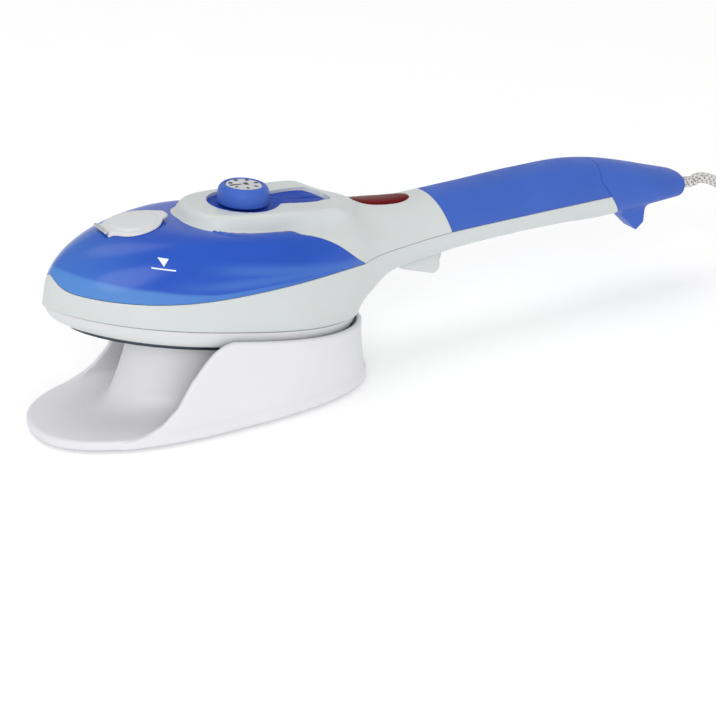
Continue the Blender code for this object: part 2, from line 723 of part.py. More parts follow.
def make_lens():
    """A long pad-shaped lens let into the saddle of the neck."""
    rows = []
    for height, grow in ((-2.8, 0.0), (0.6, 0.0), (1.6, -1.2)):
        row = []
        for k in range(20):
            angle = 2 * math.pi * k / 20
            x = 172.5 + (14.0 + grow) * math.copysign(abs(math.cos(angle)) ** 0.7, math.cos(angle))
            y = (5.5 + grow) * math.copysign(abs(math.sin(angle)) ** 0.7, math.sin(angle))
            row.append((x, y, station(x)[1] + height))
        rows.append(row)
    add("indicator_lens", grid_mesh("indicator_lens", rows), DARK_RED, 0.12, 0.0, STEAMER)
    lamp = round_mesh("neon_lamp", 2.6, 14.0, 12, "X", at=(164, 0, 58.6))
    add("neon_lamp", lamp, (0.85, 0.35, 0.15), 0.2, 0.0, STEAMER)
    block = box_mesh("lamp_holder", (161, -5, 52.6), (181, 5, 58.6))
    holder = add("lamp_holder", block, WHITE, 0.5, 0.0, STEAMER)
    nest = round_mesh("lamp_nest", 2.9, 24.0, 12, "X", at=(159, 0, 58.6))
    boolean(holder, cutter("lamp_nest", nest, STEAMER))


# ---------------------------------------------------------------- trigger and pump
def make_trigger():
    profile = [
        (187.0, 34.2),
        (193.6, 30.6),
        (203.0, 29.6),
        (213.8, 28.4),
        (216.4, 32.6),
        (215.0, 40.5),
        (194.0, 40.5),
        (187.6, 39.6),
    ]
    trigger = add("trigger", fin_mesh("trigger", profile, 4.4), LIGHT_GREY, 0.4, 0.0, STEAMER)
    px, _, pz = TRIGGER_PIVOT
    bore = round_mesh("trigger_bore", 1.25, 14, 12, "Y", at=(px, -7, pz))
    boolean(trigger, cutter("trigger_bore", bore, STEAMER))
    pin = round_mesh("trigger_pin", 1.1, 15.0, 12, "Y", at=(px, -7.5, pz))
    add("trigger_pin", pin, STEEL, 0.3, 0.9, STEAMER)
    bracket_mesh = box_mesh("trigger_bracket", (px - 3, -7.5, pz - 3), (px + 3, 7.5, pz + 8))
    bracket = add("trigger_bracket", bracket_mesh, LIGHT_GREY, 0.5, 0.0, STEAMER)
    fork = box_mesh("bracket_fork", (px - 5, -5.0, pz - 9), (px + 5, 5.0, pz + 5.5))
    boolean(bracket, cutter("bracket_fork", fork, STEAMER))
    pin_hole = round_mesh("bracket_bore", 1.4, 20, 12, "Y", at=(px, -10, pz))
    boolean(bracket, cutter("bracket_bore", pin_hole, STEAMER))
    turns, coil = 5, []
    for k in range(turns * 10 + 1):
        angle = 2 * math.pi * k / 10
        rise = 41.4 + 6.6 * k / (turns * 10)
        coil.append((PUMP_X + 3.4 * math.cos(angle), 3.4 * math.sin(angle), rise))
    tube("trigger_spring", coil, 0.4, STEEL, 0.3, 0.9, STEAMER, sides=1)


def make_pump():
    outside = [(2.6, 49), (5.4, 49), (5.4, 65), (0, 65)]
    bore = [(0, 63), (4.2, 63), (4.2, 50.2), (2.6, 50.2)]
    barrel = turned_mesh("pump_body", outside + bore, 18)
    body = add("pump_body", barrel, WHITE, 0.4, 0.0, STEAMER, (PUMP_X, 0, 0))
    for name, height in (("suction_port", SUCTION_Z), ("delivery_port", DELIVERY_Z)):
        port = round_mesh(name, 1.1, 12, 10, "X", at=(PUMP_X - 12, 0, height))
        boolean(body, cutter(name, port, STEAMER))
    profile = [(0, 40.9), (2.0, 40.9), (2.0, 53), (3.9, 53), (3.9, 56), (0, 56)]
    piston = turned_mesh("pump_piston", profile, 14)
    add("pump_piston", piston, (0.9, 0.9, 0.88), 0.4, 0.0, STEAMER, (PUMP_X, 0, 0))
    pump_side = PUMP_X - 5.4 - 2 * GAP
    water = [
        (161.5, 0, 41),
        (170, 0, 44.5),
        (182, 0, 50.5),
        (190, 0, 58.5),
        (pump_side - 4, 0, SUCTION_Z),
        (pump_side, 0, SUCTION_Z),
    ]
    tube("suction_tube", spline_points(water, 6), 1.4, PALE_TUBE, 0.3, 0.0, STEAMER)
    steam = [
        (120, 8, 15.2),
        (120.4, 8, 17),
        (124, 7, 20),
        (132, 3, 23.5),
        (142, 0, 26),
        (154, 0, 29.5),
        (164, 0, 34),
        (174, 0, 39.5),
        (184, 0, 46),
        (190, 0, 53),
        (pump_side - 3, 0, DELIVERY_Z),
        (pump_side, 0, DELIVERY_Z),
    ]
    tube("delivery_tube", spline_points(steam, 6), 1.4, PALE_TUBE, 0.3, 0.0, STEAMER)


def make_electrics():
    block = box_mesh("terminal_block", (300, -7, 72), (322, 7, 80))
    add("terminal_block", block, CERAMIC, 0.5, 0.0, STEAMER)
    clamp = box_mesh("cord_clamp", (334, -6, 74.4), (342, 6, 84.6))
    item = add("cord_clamp", clamp, WHITE, 0.5, 0.0, STEAMER)
    bore = round_mesh("clamp_bore", 3.4, 12, 14, "X", at=(332, 0, GLAND_Z))
    boolean(item, cutter("clamp_bore", bore, STEAMER))
    cable = [(x, 0, GLAND_Z) for x in (349.5, 341)]
    cable += [(333, 0, GLAND_Z - 0.1), (328, 0, 80.6), (323, 0, 78.2)]
    tube("inner_cable", spline_points(cable, 5), 2.8, WHITE, 0.6, 0.0, STEAMER)
    runs = {
        "live_wire": ((0.25, 0.10, 0.05), 5.0, 3.2),
        "neutral_wire": ((0.03, 0.08, 0.45), -5.0, -3.2),
    }
    for name, (colour, side, end) in runs.items():
        route = [
            (299, side, 76),
            (270, side * 1.7, 70),
            (235, side * 1.8, 62),
            (215, side * 1.8, 58),
            (200, side * 1.8, 55),
            (184, side * 1.7, 50),
            (172, side * 1.6, 43),
            (160, side * 1.1, 32),
            (150, end, 22),
            (147, end, 15.2),
        ]
        tube(name, spline_points(route, 9), 1.0, colour, 0.5, 0.0, STEAMER, sides=1)


def make_screws():
    """Self-tapping screws that join the handle halves from below."""
    for k, x in enumerate((238.0, 288.0)):
        z = station(x)[0]
        profile = [(0, 0.3), (2.6, 0.3), (2.6, 1.4), (1.4, 2.6), (1.4, 12), (0, 13.5)]
        screw = turned_mesh(f"handle_screw_{k + 1}", profile, 12)
        add(f"handle_screw_{k + 1}", screw, STEEL, 0.3, 0.9, STEAMER, (x, 0, z))
        hole = round_mesh("screw_hole", 3.0, 8, 14, at=(x, 0, z - 2))
        shell = bpy.data.objects["handle_lower_shell"]
        boolean(shell, cutter(f"screw_hole_{k}", hole, STEAMER))


# ---------------------------------------------------------------- stand
def sole_height(x):
    """World height of the sole plane at a world x."""
    return STEAMER_AT[2] - (x - STEAMER_AT[0]) * math.tan(PITCH)


def to_world(x, y, z):
    c, s = math.cos(PITCH), math.sin(PITCH)
    return (STEAMER_AT[0] + x * c + z * s, y, STEAMER_AT[2] - x * s + z * c)


def stand_point(angle, z, inset=0.0):
    """Teardrop base outline: a long round nose and a squarer heel."""
    c, s = math.cos(angle), math.sin(angle)
    reach, power = (STAND_REAR_LENGTH, 2.8) if c > 0 else (STAND_MIDDLE, 2.35)
    x = STAND_NOSE_X + STAND_MIDDLE + (reach - inset) * math.copysign(abs(c) ** (2 / power), c)
    y = (STAND_HALF_WIDTH - inset) * math.copysign(abs(s) ** (2 / power), s)
    return (x, y, z)


def wall_fraction(angle):
    """The side walls' front edges fall in an S from rim to plate."""
    return smoothstep((math.radians(118) - abs(angle)) / math.radians(28))


def make_stand():
    turns = [2 * math.pi * k / 48 for k in range(48)]
    edge = (
        (FOOT_HEIGHT, 1.2),
        (FOOT_HEIGHT + 1.2, 0.0),
        (PLATE_TOP - 1.0, 0.0),
        (PLATE_TOP, 1.0),
    )
    base = [[stand_point(a, z, inset) for a in turns] for z, inset in edge]
    stand = add("stand_shell", grid_mesh("stand_shell", base), WHITE, 0.35)
    for k, (x, y) in enumerate(((-165, 24), (-165, -24), (-45, 30), (-45, -30))):
        name = f"rubber_foot_{k + 1}"
        height = FOOT_HEIGHT + 0.7
        foot = round_mesh(name, FOOT_RADIUS, height, 16, at=(x, y, 0), top_radius=4.2)
        add(name, foot, RUBBER, 0.8)
        pocket = round_mesh("foot_pocket", 5.0, 2.0, 16, at=(x, y, FOOT_HEIGHT - 1.0))
        boolean(stand, cutter(f"foot_pocket_{k}", pocket))
    rows = []
    columns = [math.radians(-118 + 236 * k / 40) for k in range(41)]
    for level in (0.0, 0.35, 0.7, 1.0):
        row = []
        for angle in columns:
            height = 0.04 + 0.96 * wall_fraction(angle)
            reach = HEEL_X + 1.2 - WIDEST_X if math.cos(angle) > 0 else WIDEST_X
            x = WIDEST_X + reach * math.cos(angle)
            side = math.copysign(1.0, math.sin(angle))
            width = half_width(x, 0.0, HEEL_X + 1.2, BODY_HALF_WIDTH + 1.2)
            rim = Vector(to_world(x, side * (width + STAND_WALL), RIM_HEIGHT))
            rim.x += STAND_WALL * math.cos(angle)
            foot = Vector(stand_point(angle, PLATE_TOP - 2.0, 0.6))
            row.append(foot.lerp(rim, level * height))
        rows.append(row)
    wall = solidify(cutter("stand_wall", grid_mesh("stand_wall", rows, ring=False)), STAND_WALL)
    boolean(stand, wall, "UNION")
    pillar = []
    for drop, grow in ((0.0, 0.0), (1.0, 5.0)):
        row = []
        for x, y in iron_outline(46, 150, 22, 24):
            wx = to_world(x, y, 0)[0] - grow * 1.6 * (x < 80)
            top = sole_height(to_world(x, y, 0)[0]) - GAP - 0.2
            row.append((wx, y * (1 + grow / 30), top if drop == 0 else PLATE_TOP - 2.0))
        pillar.append(row)
    boolean(stand, cutter("stand_pillar", grid_mesh("stand_pillar", pillar, ladder=True)), "UNION")


# ---------------------------------------------------------------- cord and plug
CORD_EXIT = to_world(375.0, 0, GLAND_Z)
CORD_ROUTE = (
    CORD_EXIT,
    (204.0, -0.2, 57.6),
    (211.0, -1.0, 56.0),
    (219.0, -2.8, 51.6),
    (228.0, -5.6, 43.5),
    (237.0, -9.4, 32.5),
    (246.0, -14.0, 21.0),
    (255.0, -19.5, 11.0),
    (264.0, -25.5, 5.4),
    (273.0, -31.8, 3.4),
    (281.5, -38.2, 3.1),
)
TAIL_ROUTE = (
    (PLUG_AT[0], COIL_CENTRE[1] - 12.0, 3.1),
    (PLUG_AT[0], COIL_CENTRE[1], 3.1),
    (PLUG_AT[0], COIL_CENTRE[1] + 8.0, 3.3),
    (PLUG_AT[0], PLUG_AT[1] - 0.4, 4.0),
)


def make_cord():
    run = spline_points(CORD_ROUTE, 7)
    tube("mains_cord", run, CORD_RADIUS, BRAID, 0.85, sides=3)
    tube("cord_tail", spline_points(TAIL_ROUTE, 7), CORD_RADIUS, BRAID, 0.85, sides=3)
    ring = turned_mesh(
        "cord_coil",
        [
            (COIL_INNER, 3),
            (COIL_INNER + 3, 0.05),
            (COIL_OUTER - 3, 0.05),
            (COIL_OUTER, 3),
            (COIL_OUTER, COIL_HEIGHT - 4),
            (COIL_OUTER - 4, COIL_HEIGHT),
            (COIL_INNER + 4, COIL_HEIGHT),
            (COIL_INNER, COIL_HEIGHT - 4),
        ],
        32,
    )
    add("cord_coil", ring, BRAID, 0.85, at=(*COIL_CENTRE, 0.0))


def make_plug():
    """An earthed round plug that lies on its rim with the cord end on the surface."""
    frame = empty("plug_frame", PLUG_AT)
    frame.rotation_euler = (-(math.pi / 2 - PLUG_TILT), 0.0, 0.0)
    profile = [
        (0, 20),
        (3.3, 20),
        (3.3, 0),
        (3.9, 0),
        (5.2, 22),
        (10.5, 27),
        (14, 40),
        (18.8, 46),
        (18.8, 54),
        (17.6, 55),
        (0, 55),
    ]
    add("plug_body", turned_mesh("plug_body", profile, 24), WHITE, 0.5, 0.0, frame)
    for k, side in enumerate((-9.5, 9.5)):
        pin = round_mesh(f"plug_pin_{k + 1}", 2.4, 19.0, 14, at=(side, 0, 55.3))
        add(f"plug_pin_{k + 1}", pin, STEEL, 0.25, 0.9, frame)


def main():
    make_sole()
    make_chamber()
    make_skirt()
    make_lower_housing()
    make_tank()
    make_filler()
    make_console()
    make_dial()
    make_handle()
    make_end_cap()
    make_lens()
    make_trigger()
    make_pump()
    make_electrics()
    make_screws()
    make_stand()
    make_cord()
    make_plug()


ENVELOPE_LEVELS = (9, 16, 24, 32, 40, 46, 51, 54, 55.3)
HEAD_ENVELOPE = cutter(
    "head_envelope",
    grid_mesh("head_envelope", [hull_ring(z, -2 * GAP, HULL_SIDES) for z in ENVELOPE_LEVELS]),
    STEAMER,
)
CONSOLE_ENVELOPE = cutter(
    "console_envelope", plate_mesh("console_envelope", console_outline(4.2), -16, 8), CONSOLE
)
VALVE_BORE = cutter("valve_bore", round_mesh("valve_bore", 6.6, 64, 20, at=(0, 0, -56)), CONSOLE)
NECK_WINDOW = cutter("neck_window", box_mesh("neck_window", (150, -13, 20), (200, 13, 60)), STEAMER)
main()
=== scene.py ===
"""Looks for the handheld steamer on its stand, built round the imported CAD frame.

The head, neck and handle are one smooth solid, given by distance functions in the steamer's own
frame (millimetres, x from the nose tip backwards, z up from the sole). A surface net makes its
skin, and each moulding is the stretch of that skin inside its parting lines, with a turned-in lip.
"""

import json
import math

import bpy
import numpy as np
from mathutils import Matrix, Vector


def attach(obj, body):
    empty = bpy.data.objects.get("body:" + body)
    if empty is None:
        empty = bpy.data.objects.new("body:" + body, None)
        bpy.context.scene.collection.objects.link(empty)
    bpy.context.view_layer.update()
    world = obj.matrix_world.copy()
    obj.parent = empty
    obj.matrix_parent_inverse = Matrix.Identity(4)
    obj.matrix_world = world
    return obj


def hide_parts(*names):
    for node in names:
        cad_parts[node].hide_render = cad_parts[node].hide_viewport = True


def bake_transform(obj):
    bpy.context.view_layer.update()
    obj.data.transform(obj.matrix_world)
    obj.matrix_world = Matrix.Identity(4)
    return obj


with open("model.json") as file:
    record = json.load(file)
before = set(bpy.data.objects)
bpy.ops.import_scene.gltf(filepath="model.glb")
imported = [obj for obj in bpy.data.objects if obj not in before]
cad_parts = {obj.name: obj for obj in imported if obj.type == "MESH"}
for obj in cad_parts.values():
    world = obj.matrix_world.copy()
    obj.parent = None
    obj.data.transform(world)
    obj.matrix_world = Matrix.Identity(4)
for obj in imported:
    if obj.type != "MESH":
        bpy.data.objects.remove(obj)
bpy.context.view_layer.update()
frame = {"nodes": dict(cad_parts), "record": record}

MM = 0.001
PITCH = math.radians(12.0)
STEAMER_AT = (-185.65, 0.0, 54.97)
CONSOLE_AT = (96.0, 0.0, 64.2)
CONSOLE_SLOPE = math.radians(6.8)

CAMERA_AT = (-0.48576, -0.80034, 0.43321)
CAMERA_TURN = (math.radians(65.0), 0.0, math.radians(-30.5))
CAMERA_LENS = 100.0

STEAMER = Matrix.Translation(Vector(STEAMER_AT) * MM) @ Matrix.Rotation(PITCH, 4, "Y")
CONSOLE = (
    STEAMER
    @ Matrix.Translation(Vector(CONSOLE_AT) * MM)
    @ Matrix.Rotation(-CONSOLE_SLOPE, 4, "Y")
)
WORLD = Matrix.Identity(4)


# ---------------------------------------------------------------- camera
def make_camera():
    data = bpy.data.cameras.new("camera")
    data.lens = CAMERA_LENS
    data.sensor_width = 36.0
    camera = bpy.data.objects.new("camera", data)
    camera.location = CAMERA_AT
    camera.rotation_euler = CAMERA_TURN
    bpy.context.scene.collection.objects.link(camera)
    bpy.context.scene.camera = camera


make_camera()


# ---------------------------------------------------------------- materials
class Shader:
    """A node material on object coordinates in metres."""

    def __init__(self, name, roughness=0.35, **sockets):
        self.material = bpy.data.materials.new(name)
        self.material.use_nodes = True
        self.nodes = self.material.node_tree.nodes
        self.links = self.material.node_tree.links
        self.shader = self.nodes["Principled BSDF"]
        self.shader.inputs["Roughness"].default_value = roughness
        for socket, value in sockets.items():
            self.shader.inputs[socket.replace("_", " ")].default_value = value
        self.place = self.nodes.new("ShaderNodeTexCoord").outputs["Object"]

    def join(self, value, socket):
        if isinstance(value, bpy.types.NodeSocket):
            self.links.new(value, socket)
        else:
            socket.default_value = value

    def noise(self, scale, detail=3.0, place=None, rough=0.5):
        node = self.nodes.new("ShaderNodeTexNoise")
        node.inputs["Scale"].default_value = scale
        node.inputs["Detail"].default_value = detail
        node.inputs["Roughness"].default_value = rough
        self.join(self.place if place is None else place, node.inputs["Vector"])
        return node.outputs["Fac"]

    def math(self, operation, a, b=0.0, c=0.0, clamp=False):
        node = self.nodes.new("ShaderNodeMath")
        node.operation = operation
        node.use_clamp = clamp
        for value, socket in zip((a, b, c), node.inputs):
            self.join(value, socket)
        return node.outputs[0]

    def ramp(self, value, low, high, out_low=0.0, out_high=1.0, smooth=True):
        node = self.nodes.new("ShaderNodeMapRange")
        node.interpolation_type = "SMOOTHSTEP" if smooth else "LINEAR"
        for socket, item in zip(node.inputs, (value, low, high, out_low, out_high)):
            self.join(item, socket)
        return node.outputs[0]

    def mix(self, factor, a, b):
        node = self.nodes.new("ShaderNodeMix")
        node.data_type = "RGBA"
        self.join(factor, node.inputs[0])
        for colour, socket in ((a, node.inputs[6]), (b, node.inputs[7])):
            self.join((*colour, 1.0) if isinstance(colour, tuple) else colour, socket)
        return node.outputs[2]

    def split(self, place=None):
        node = self.nodes.new("ShaderNodeSeparateXYZ")
        self.join(self.place if place is None else place, node.inputs[0])
        return node.outputs

    def in_steamer(self):
        """The object coordinates turned into the steamer's own frame."""
        node = self.nodes.new("ShaderNodeMapping")
        node.vector_type = "TEXTURE"
        node.inputs["Location"].default_value = Vector(STEAMER_AT) * MM
        node.inputs["Rotation"].default_value = (0.0, PITCH, 0.0)
        self.links.new(self.place, node.inputs["Vector"])
        return node.outputs[0]

    def colour(self, value):
        self.join(value, self.shader.inputs["Base Color"])

    def roughness(self, value):
        self.join(value, self.shader.inputs["Roughness"])

    def bump(self, height, distance, strength=1.0):
        node = self.nodes.new("ShaderNodeBump")
        node.inputs["Distance"].default_value = distance
        node.inputs["Strength"].default_value = strength
        self.join(height, node.inputs["Height"])
        self.links.new(node.outputs[0], self.shader.inputs["Normal"])


def scaled(colour, factor):
    return tuple(min(1.0, channel * factor) for channel in colour)


def plastic(name, colour, roughness, grain=1300.0, depth=0.000006, spread=0.06, **sockets):
    """Moulded plastic: faint cloudy shade, uneven gloss and a fine grain."""
    s = Shader(name, roughness, **sockets)
    cloud = s.noise(22.0, 4.0)
    s.colour(s.mix(s.ramp(cloud, 0.3, 0.7), scaled(colour, 1 - spread), scaled(colour, 1 + spread)))
    s.roughness(s.ramp(s.noise(160.0, 5.0), 0.3, 0.7, roughness - 0.05, roughness + 0.06))
    s.bump(s.noise(grain, 2.0), depth)
    return s.material


def metal(name, colour, roughness, lines=900.0):
    """Metal with fine drawn lines and patchy gloss."""
    s = Shader(name, roughness, Metallic=0.95)
    s.colour(s.mix(s.noise(60.0), scaled(colour, 0.85), scaled(colour, 1.1)))
    s.roughness(s.ramp(s.noise(lines, 4.0), 0.3, 0.7, roughness - 0.08, roughness + 0.1))
    s.bump(s.noise(lines, 3.0), 0.00001)
    return s.material


WHITE = (0.74, 0.74, 0.77)
GREY = (0.60, 0.635, 0.63)
GRIP_BLUE = (0.045, 0.120, 0.50)
NAVY = (0.010, 0.055, 0.40)
TANK_DEEP = (0.006, 0.055, 0.42)
TANK_CLEAR = (0.022, 0.105, 0.54)
# painted light: the pale blue that the tank's painted glow and painted reflection lines mix towards
TANK_PAINTED_LIGHT = (0.10, 0.28, 0.62)
RED = (0.13, 0.0005, 0.002)


def tank_material():
    """Clear blue moulding; its floor and inner wall show through as a painted glow, with painted
    reflection lines.
    """
    s = Shader("tank_blue", 0.22, Specular_IOR_Level=0.3)
    x, y, z = s.split(s.in_steamer())
    along = s.math("POWER", s.math("MAXIMUM", s.math("MULTIPLY", x, 1 / 0.158), 0.0), 1.3)
    floor = s.ramp(along, 0.0, 1.0, 0.0215, 0.0408)
    above = s.math("SUBTRACT", z, floor)
    wobble = s.math("MULTIPLY", s.math("SUBTRACT", s.noise(14.0, 2.0), 0.5), 0.006)
    above = s.math("ADD", above, wobble)
    thin = s.ramp(x, 0.0, 0.10, 0.0105, 0.002)
    band = s.math("SUBTRACT", 1.0, s.ramp(s.math("DIVIDE", above, thin), 0.75, 1.1))
    # painted light: lighter at the nose tip and in a band just above the tank's lower edge, brightest
    # at the front
    nose = s.ramp(x, 0.045, 0.0)
    glow = s.math("MULTIPLY", band, s.ramp(x, 0.15, 0.02, 0.25, 1.0))
    # painted reflections: two thin lighter lines along the tank's side
    line = s.math("ABSOLUTE", s.math("SUBTRACT", z, 0.0415))
    line = s.math("SUBTRACT", 1.0, s.ramp(line, 0.0, 0.0045))
    line = s.math("MULTIPLY", line, s.ramp(x, 0.05, 0.09))
    low = s.math("ABSOLUTE", s.math("SUBTRACT", z, s.ramp(x, 0.03, 0.16, 0.031, 0.043)))
    low = s.math("SUBTRACT", 1.0, s.ramp(low, 0.0, 0.004))
    low = s.math("MULTIPLY", low, s.ramp(x, 0.04, 0.08))
    # the painted glow and painted reflection lines together lighten the blue
    light = s.math("MAXIMUM", s.math("MULTIPLY", glow, 0.75), s.math("MULTIPLY", nose, 0.35))
    light = s.math("MAXIMUM", light, s.math("MULTIPLY", s.math("MAXIMUM", line, low), 0.30))
    base = s.mix(s.noise(18.0, 2.0), TANK_DEEP, TANK_CLEAR)
    s.colour(s.mix(light, base, TANK_PAINTED_LIGHT))
    s.bump(s.noise(45.0, 2.0), 0.0002, 0.35)
    return s.material


def braid_material():
    """Two sets of crossing strands round the cord, painted shade between them, and brown-gold flecks.
    UV: turn, length.
    """
    s = Shader("cord_braid", 0.8, Sheen_Weight=0.3)
    u, v, _ = s.split(s.nodes["Texture Coordinate"].outputs["UV"])
    turn = s.math("MULTIPLY", u, 6.0)
    climb = s.math("MULTIPLY", v, 6.0)
    waves = []
    for sign in ("ADD", "SUBTRACT"):
        phase = s.math("MULTIPLY", s.math(sign, turn, climb), 2 * math.pi)
        waves.append(s.math("SINE", phase))
    height = s.math("MAXIMUM", *waves)
    fleck = s.math("MULTIPLY", s.ramp(s.noise(420.0, 2.0), 0.50, 0.60), s.ramp(waves[0], 0.1, 0.7))
    pale = s.mix(s.noise(900.0), (0.62, 0.61, 0.58), (0.86, 0.86, 0.85))
    # painted shade: the braid is darker in the gaps between strands and paler on their crowns
    shade = s.mix(s.ramp(height, -0.4, 0.6), (0.30, 0.29, 0.28), pale)
    s.colour(s.mix(s.math("MULTIPLY", fleck, 0.85), shade, (0.36, 0.22, 0.08)))
    s.bump(height, 0.0004, 0.7)
    return s.material


MATERIALS = {
    "white_plastic": plastic("white_plastic", WHITE, 0.38, spread=0.015),
    "grey_plastic": plastic("grey_plastic", GREY, 0.34, spread=0.02),
    "blue_plastic": plastic(
        "blue_plastic", GRIP_BLUE, 0.45, 1500.0, 0.00003, 0.05, Specular_IOR_Level=0.25
    ),
    "navy_plastic": plastic("navy_plastic", NAVY, 0.5, Specular_IOR_Level=0.15),
    "tank_plastic": tank_material(),
    "red_lens": plastic("red_lens", RED, 0.22, 300.0, 0.00002, 0.25, Specular_IOR_Level=0.08),
    "lamp": plastic("lamp_glass", (0.8, 0.3, 0.12), 0.1),
    "coated_sole": metal("coated_sole", (0.07, 0.085, 0.11), 0.38),
    "cast_metal": metal("cast_metal", (0.62, 0.63, 0.65), 0.45, 400.0),
    "steel": metal("steel", (0.62, 0.62, 0.64), 0.26),
    "brass": metal("brass", (0.65, 0.48, 0.20), 0.28),
    "silicone": plastic("silicone", (0.55, 0.16, 0.10), 0.7),
    "clear_tube": plastic("clear_tube", (0.75, 0.80, 0.80), 0.35),
    "ceramic": plastic("ceramic", (0.72, 0.69, 0.62), 0.55, 900.0),
    "foot_rubber": plastic("foot_rubber", (0.55, 0.55, 0.57), 0.75, 1500.0, 0.00006),
    "braid": braid_material(),
    "cable_sheath": plastic("cable_sheath", (0.75, 0.75, 0.76), 0.6),
    "brown_wire": plastic("brown_wire", (0.22, 0.09, 0.04), 0.5),
    "blue_wire": plastic("blue_wire", (0.03, 0.08, 0.42), 0.5),
}
SHADE_ONLY = {
    "skirt": plastic("skirt_plastic", (0.66, 0.665, 0.675), 0.34, spread=0.02),
    "print_white": plastic("print_white", (0.80, 0.86, 0.95), 0.5),
    "print_black": plastic("print_black", (0.015, 0.015, 0.02), 0.45),
    "disc": metal("dial_silver", (0.80, 0.81, 0.84), 0.30),
}


def paint(item, slot, shade=None):
    item.data.materials.clear()
    item.data.materials.append(SHADE_ONLY[shade] if shade else MATERIALS[slot])
    return item


def finish_cad_nodes():
    """Every CAD node gets its slot's material."""
    slots = {part["node"]: part["material_slot"] for part in frame["record"]["subparts"]}
    for name, item in frame["nodes"].items():
        item.data.materials.clear()
        item.data.materials.append(MATERIALS[slots[name]])
        item.data.shade_smooth()
        item.data.set_sharp_from_angle(angle=math.radians(32))


finish_cad_nodes()


# ---------------------------------------------------------------- mesh helpers
def piece(name, points, faces, body, slot, nodes=(), place=STEAMER, shade=None, sharp=38):
    """A mesh (mm, in a frame) as a piece on a body that stands for CAD nodes."""
    mesh = bpy.data.meshes.new(name)
    mesh.from_pydata((np.asarray(points, float) * MM).tolist(), [], [list(f) for f in faces])
    mesh.transform(place)
    mesh.validate()
    item = bpy.data.objects.new(name, mesh)
    bpy.context.scene.collection.objects.link(item)
    mesh.shade_smooth()
    mesh.set_sharp_from_angle(angle=math.radians(sharp))
    paint(item, slot, shade)
    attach(item, body)
    if nodes:
        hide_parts(*nodes)
    return item


def loft(rows, ring=True, caps=(True, True)):
    """Points and faces through rows of equal length."""
    count = len(rows[0])
    points = [p for row in rows for p in row]
    faces = []
    for r in range(len(rows) - 1):
        for i in range(count if ring else count - 1):
            j = (i + 1) % count
            a, b = r * count, (r + 1) * count
            faces.append((a + i, a + j, b + j, b + i))
    if ring and caps[0]:
        faces.append(tuple(reversed(range(count))))
    if ring and caps[1]:
        faces.append(tuple(range((len(rows) - 1) * count, len(rows) * count)))
    return points, faces


def turned(profile, segments=96):
    """A (radius, z) profile turned about z; a radius of zero closes to a point."""
    rows = []
    for r, z in profile:
        angles = [2 * math.pi * k / segments for k in range(segments)]
        rows.append([(max(r, 0.001) * math.cos(a), max(r, 0.001) * math.sin(a), z) for a in angles])
    return loft(rows, caps=(profile[0][0] == 0, profile[-1][0] == 0))


def smoothstep(t):
    t = np.clip(t, 0.0, 1.0)
    return t * t * (3 - 2 * t)


def smooth_max(a, b, k):
    h = np.maximum(k - np.abs(a - b), 0) / k
    return np.maximum(a, b) + h * h * k / 4


def smooth_min(a, b, k):
    return -smooth_max(-a, -b, k)


# ---------------------------------------------------------------- cord
CORD_RADIUS = 3.0
COIL_CENTRE = (310.0, 1.0)
CORD_ROUTE = (
    (183.36, 0.0, 59.55),
    (198.04, 0.0, 56.43),
    (204.0, -0.2, 57.6),
    (211.0, -1.0, 56.0),
    (219.0, -2.8, 51.6),
    (228.0, -5.6, 43.5),
    (237.0, -9.4, 32.5),
    (246.0, -14.0, 21.0),
    (255.0, -19.5, 11.0),
    (264.0, -25.5, 5.4),
    (273.0, -31.8, 3.4),
    (281.5, -38.2, 3.1),
)
PLUG_X, PLUG_Y, PLUG_Z = 355.8, 15.0, 4.1
COIL_RADII = (27.0, 39.0)
COIL_LEVELS = 4
RAMP_TURN = 120.0


def smooth_route(route, step):
    """Points a step apart along a Catmull-Rom curve."""
    route = [Vector(p) for p in route]
    ends = [2 * route[0] - route[1], *route, 2 * route[-1] - route[-2]]
    fine = []
    for a, b, c, d in zip(ends, ends[1:], ends[2:], ends[3:]):
        for k in range(16):
            t = k / 16
            bend = (2 * a - 5 * b + 4 * c - d) * t * t + (3 * b - a - 3 * c + d) * t**3
            fine.append(0.5 * (2 * b + (c - a) * t + bend))
    fine.append(route[-1])
    walked = [0.0]
    for p, q in zip(fine, fine[1:]):
        walked.append(walked[-1] + (q - p).length)
    count = round(walked[-1] / step)
    table = np.array([list(p) for p in fine])
    places = np.linspace(0, walked[-1], count + 1)
    return np.stack([np.interp(places, walked, table[:, i]) for i in range(3)], 1)


def coil_point(angle, radius, z):
    turn = math.radians(angle)
    return (COIL_CENTRE[0] + radius * math.cos(turn), COIL_CENTRE[1] + radius * math.sin(turn), z)


def cord_line():
    """From the handle to the surface, nine turns in four layers, and out to the plug."""
    route = list(CORD_ROUTE)
    angle = -60.0
    for k, radius in ((0.4, 44.4), (0.75, 40.9)):
        route.append(coil_point(-126 + 66 * k, radius, 3.05))
    inner, outer = COIL_RADII
    for level in range(COIL_LEVELS):
        start, end = (outer, inner) if level % 2 == 0 else (inner, outer)
        z = 3.05 + 6.0 * level
        for k in range(0, 720, 15):
            route.append(coil_point(angle + k, start + (end - start) * k / 720, z))
        angle += 720
        if level < COIL_LEVELS - 1:
            out = 0.8 if end == outer else -0.8
            for k in range(0, int(RAMP_TURN), 15):
                t = k / RAMP_TURN
                rise = 6.0 * float(smoothstep(t))
                route.append(coil_point(angle + k, end + out * math.sin(math.pi * t), z + rise))
            angle += RAMP_TURN
    for k, radius, z in ((0, 39.0, 21.0), (13, 41.2, 18.0), (26, 44.2, 10.6), (38, 46.0, 4.6)):
        route.append(coil_point(angle + k, radius, z))
    route += [(PLUG_X, COIL_CENTRE[1] - 6.0, 3.1), (PLUG_X, 3.0, 3.1), (PLUG_X, 9.0, 3.4)]
    route.append((PLUG_X, PLUG_Y - 0.4, PLUG_Z - 0.1))
    return smooth_route(route, 2.0)


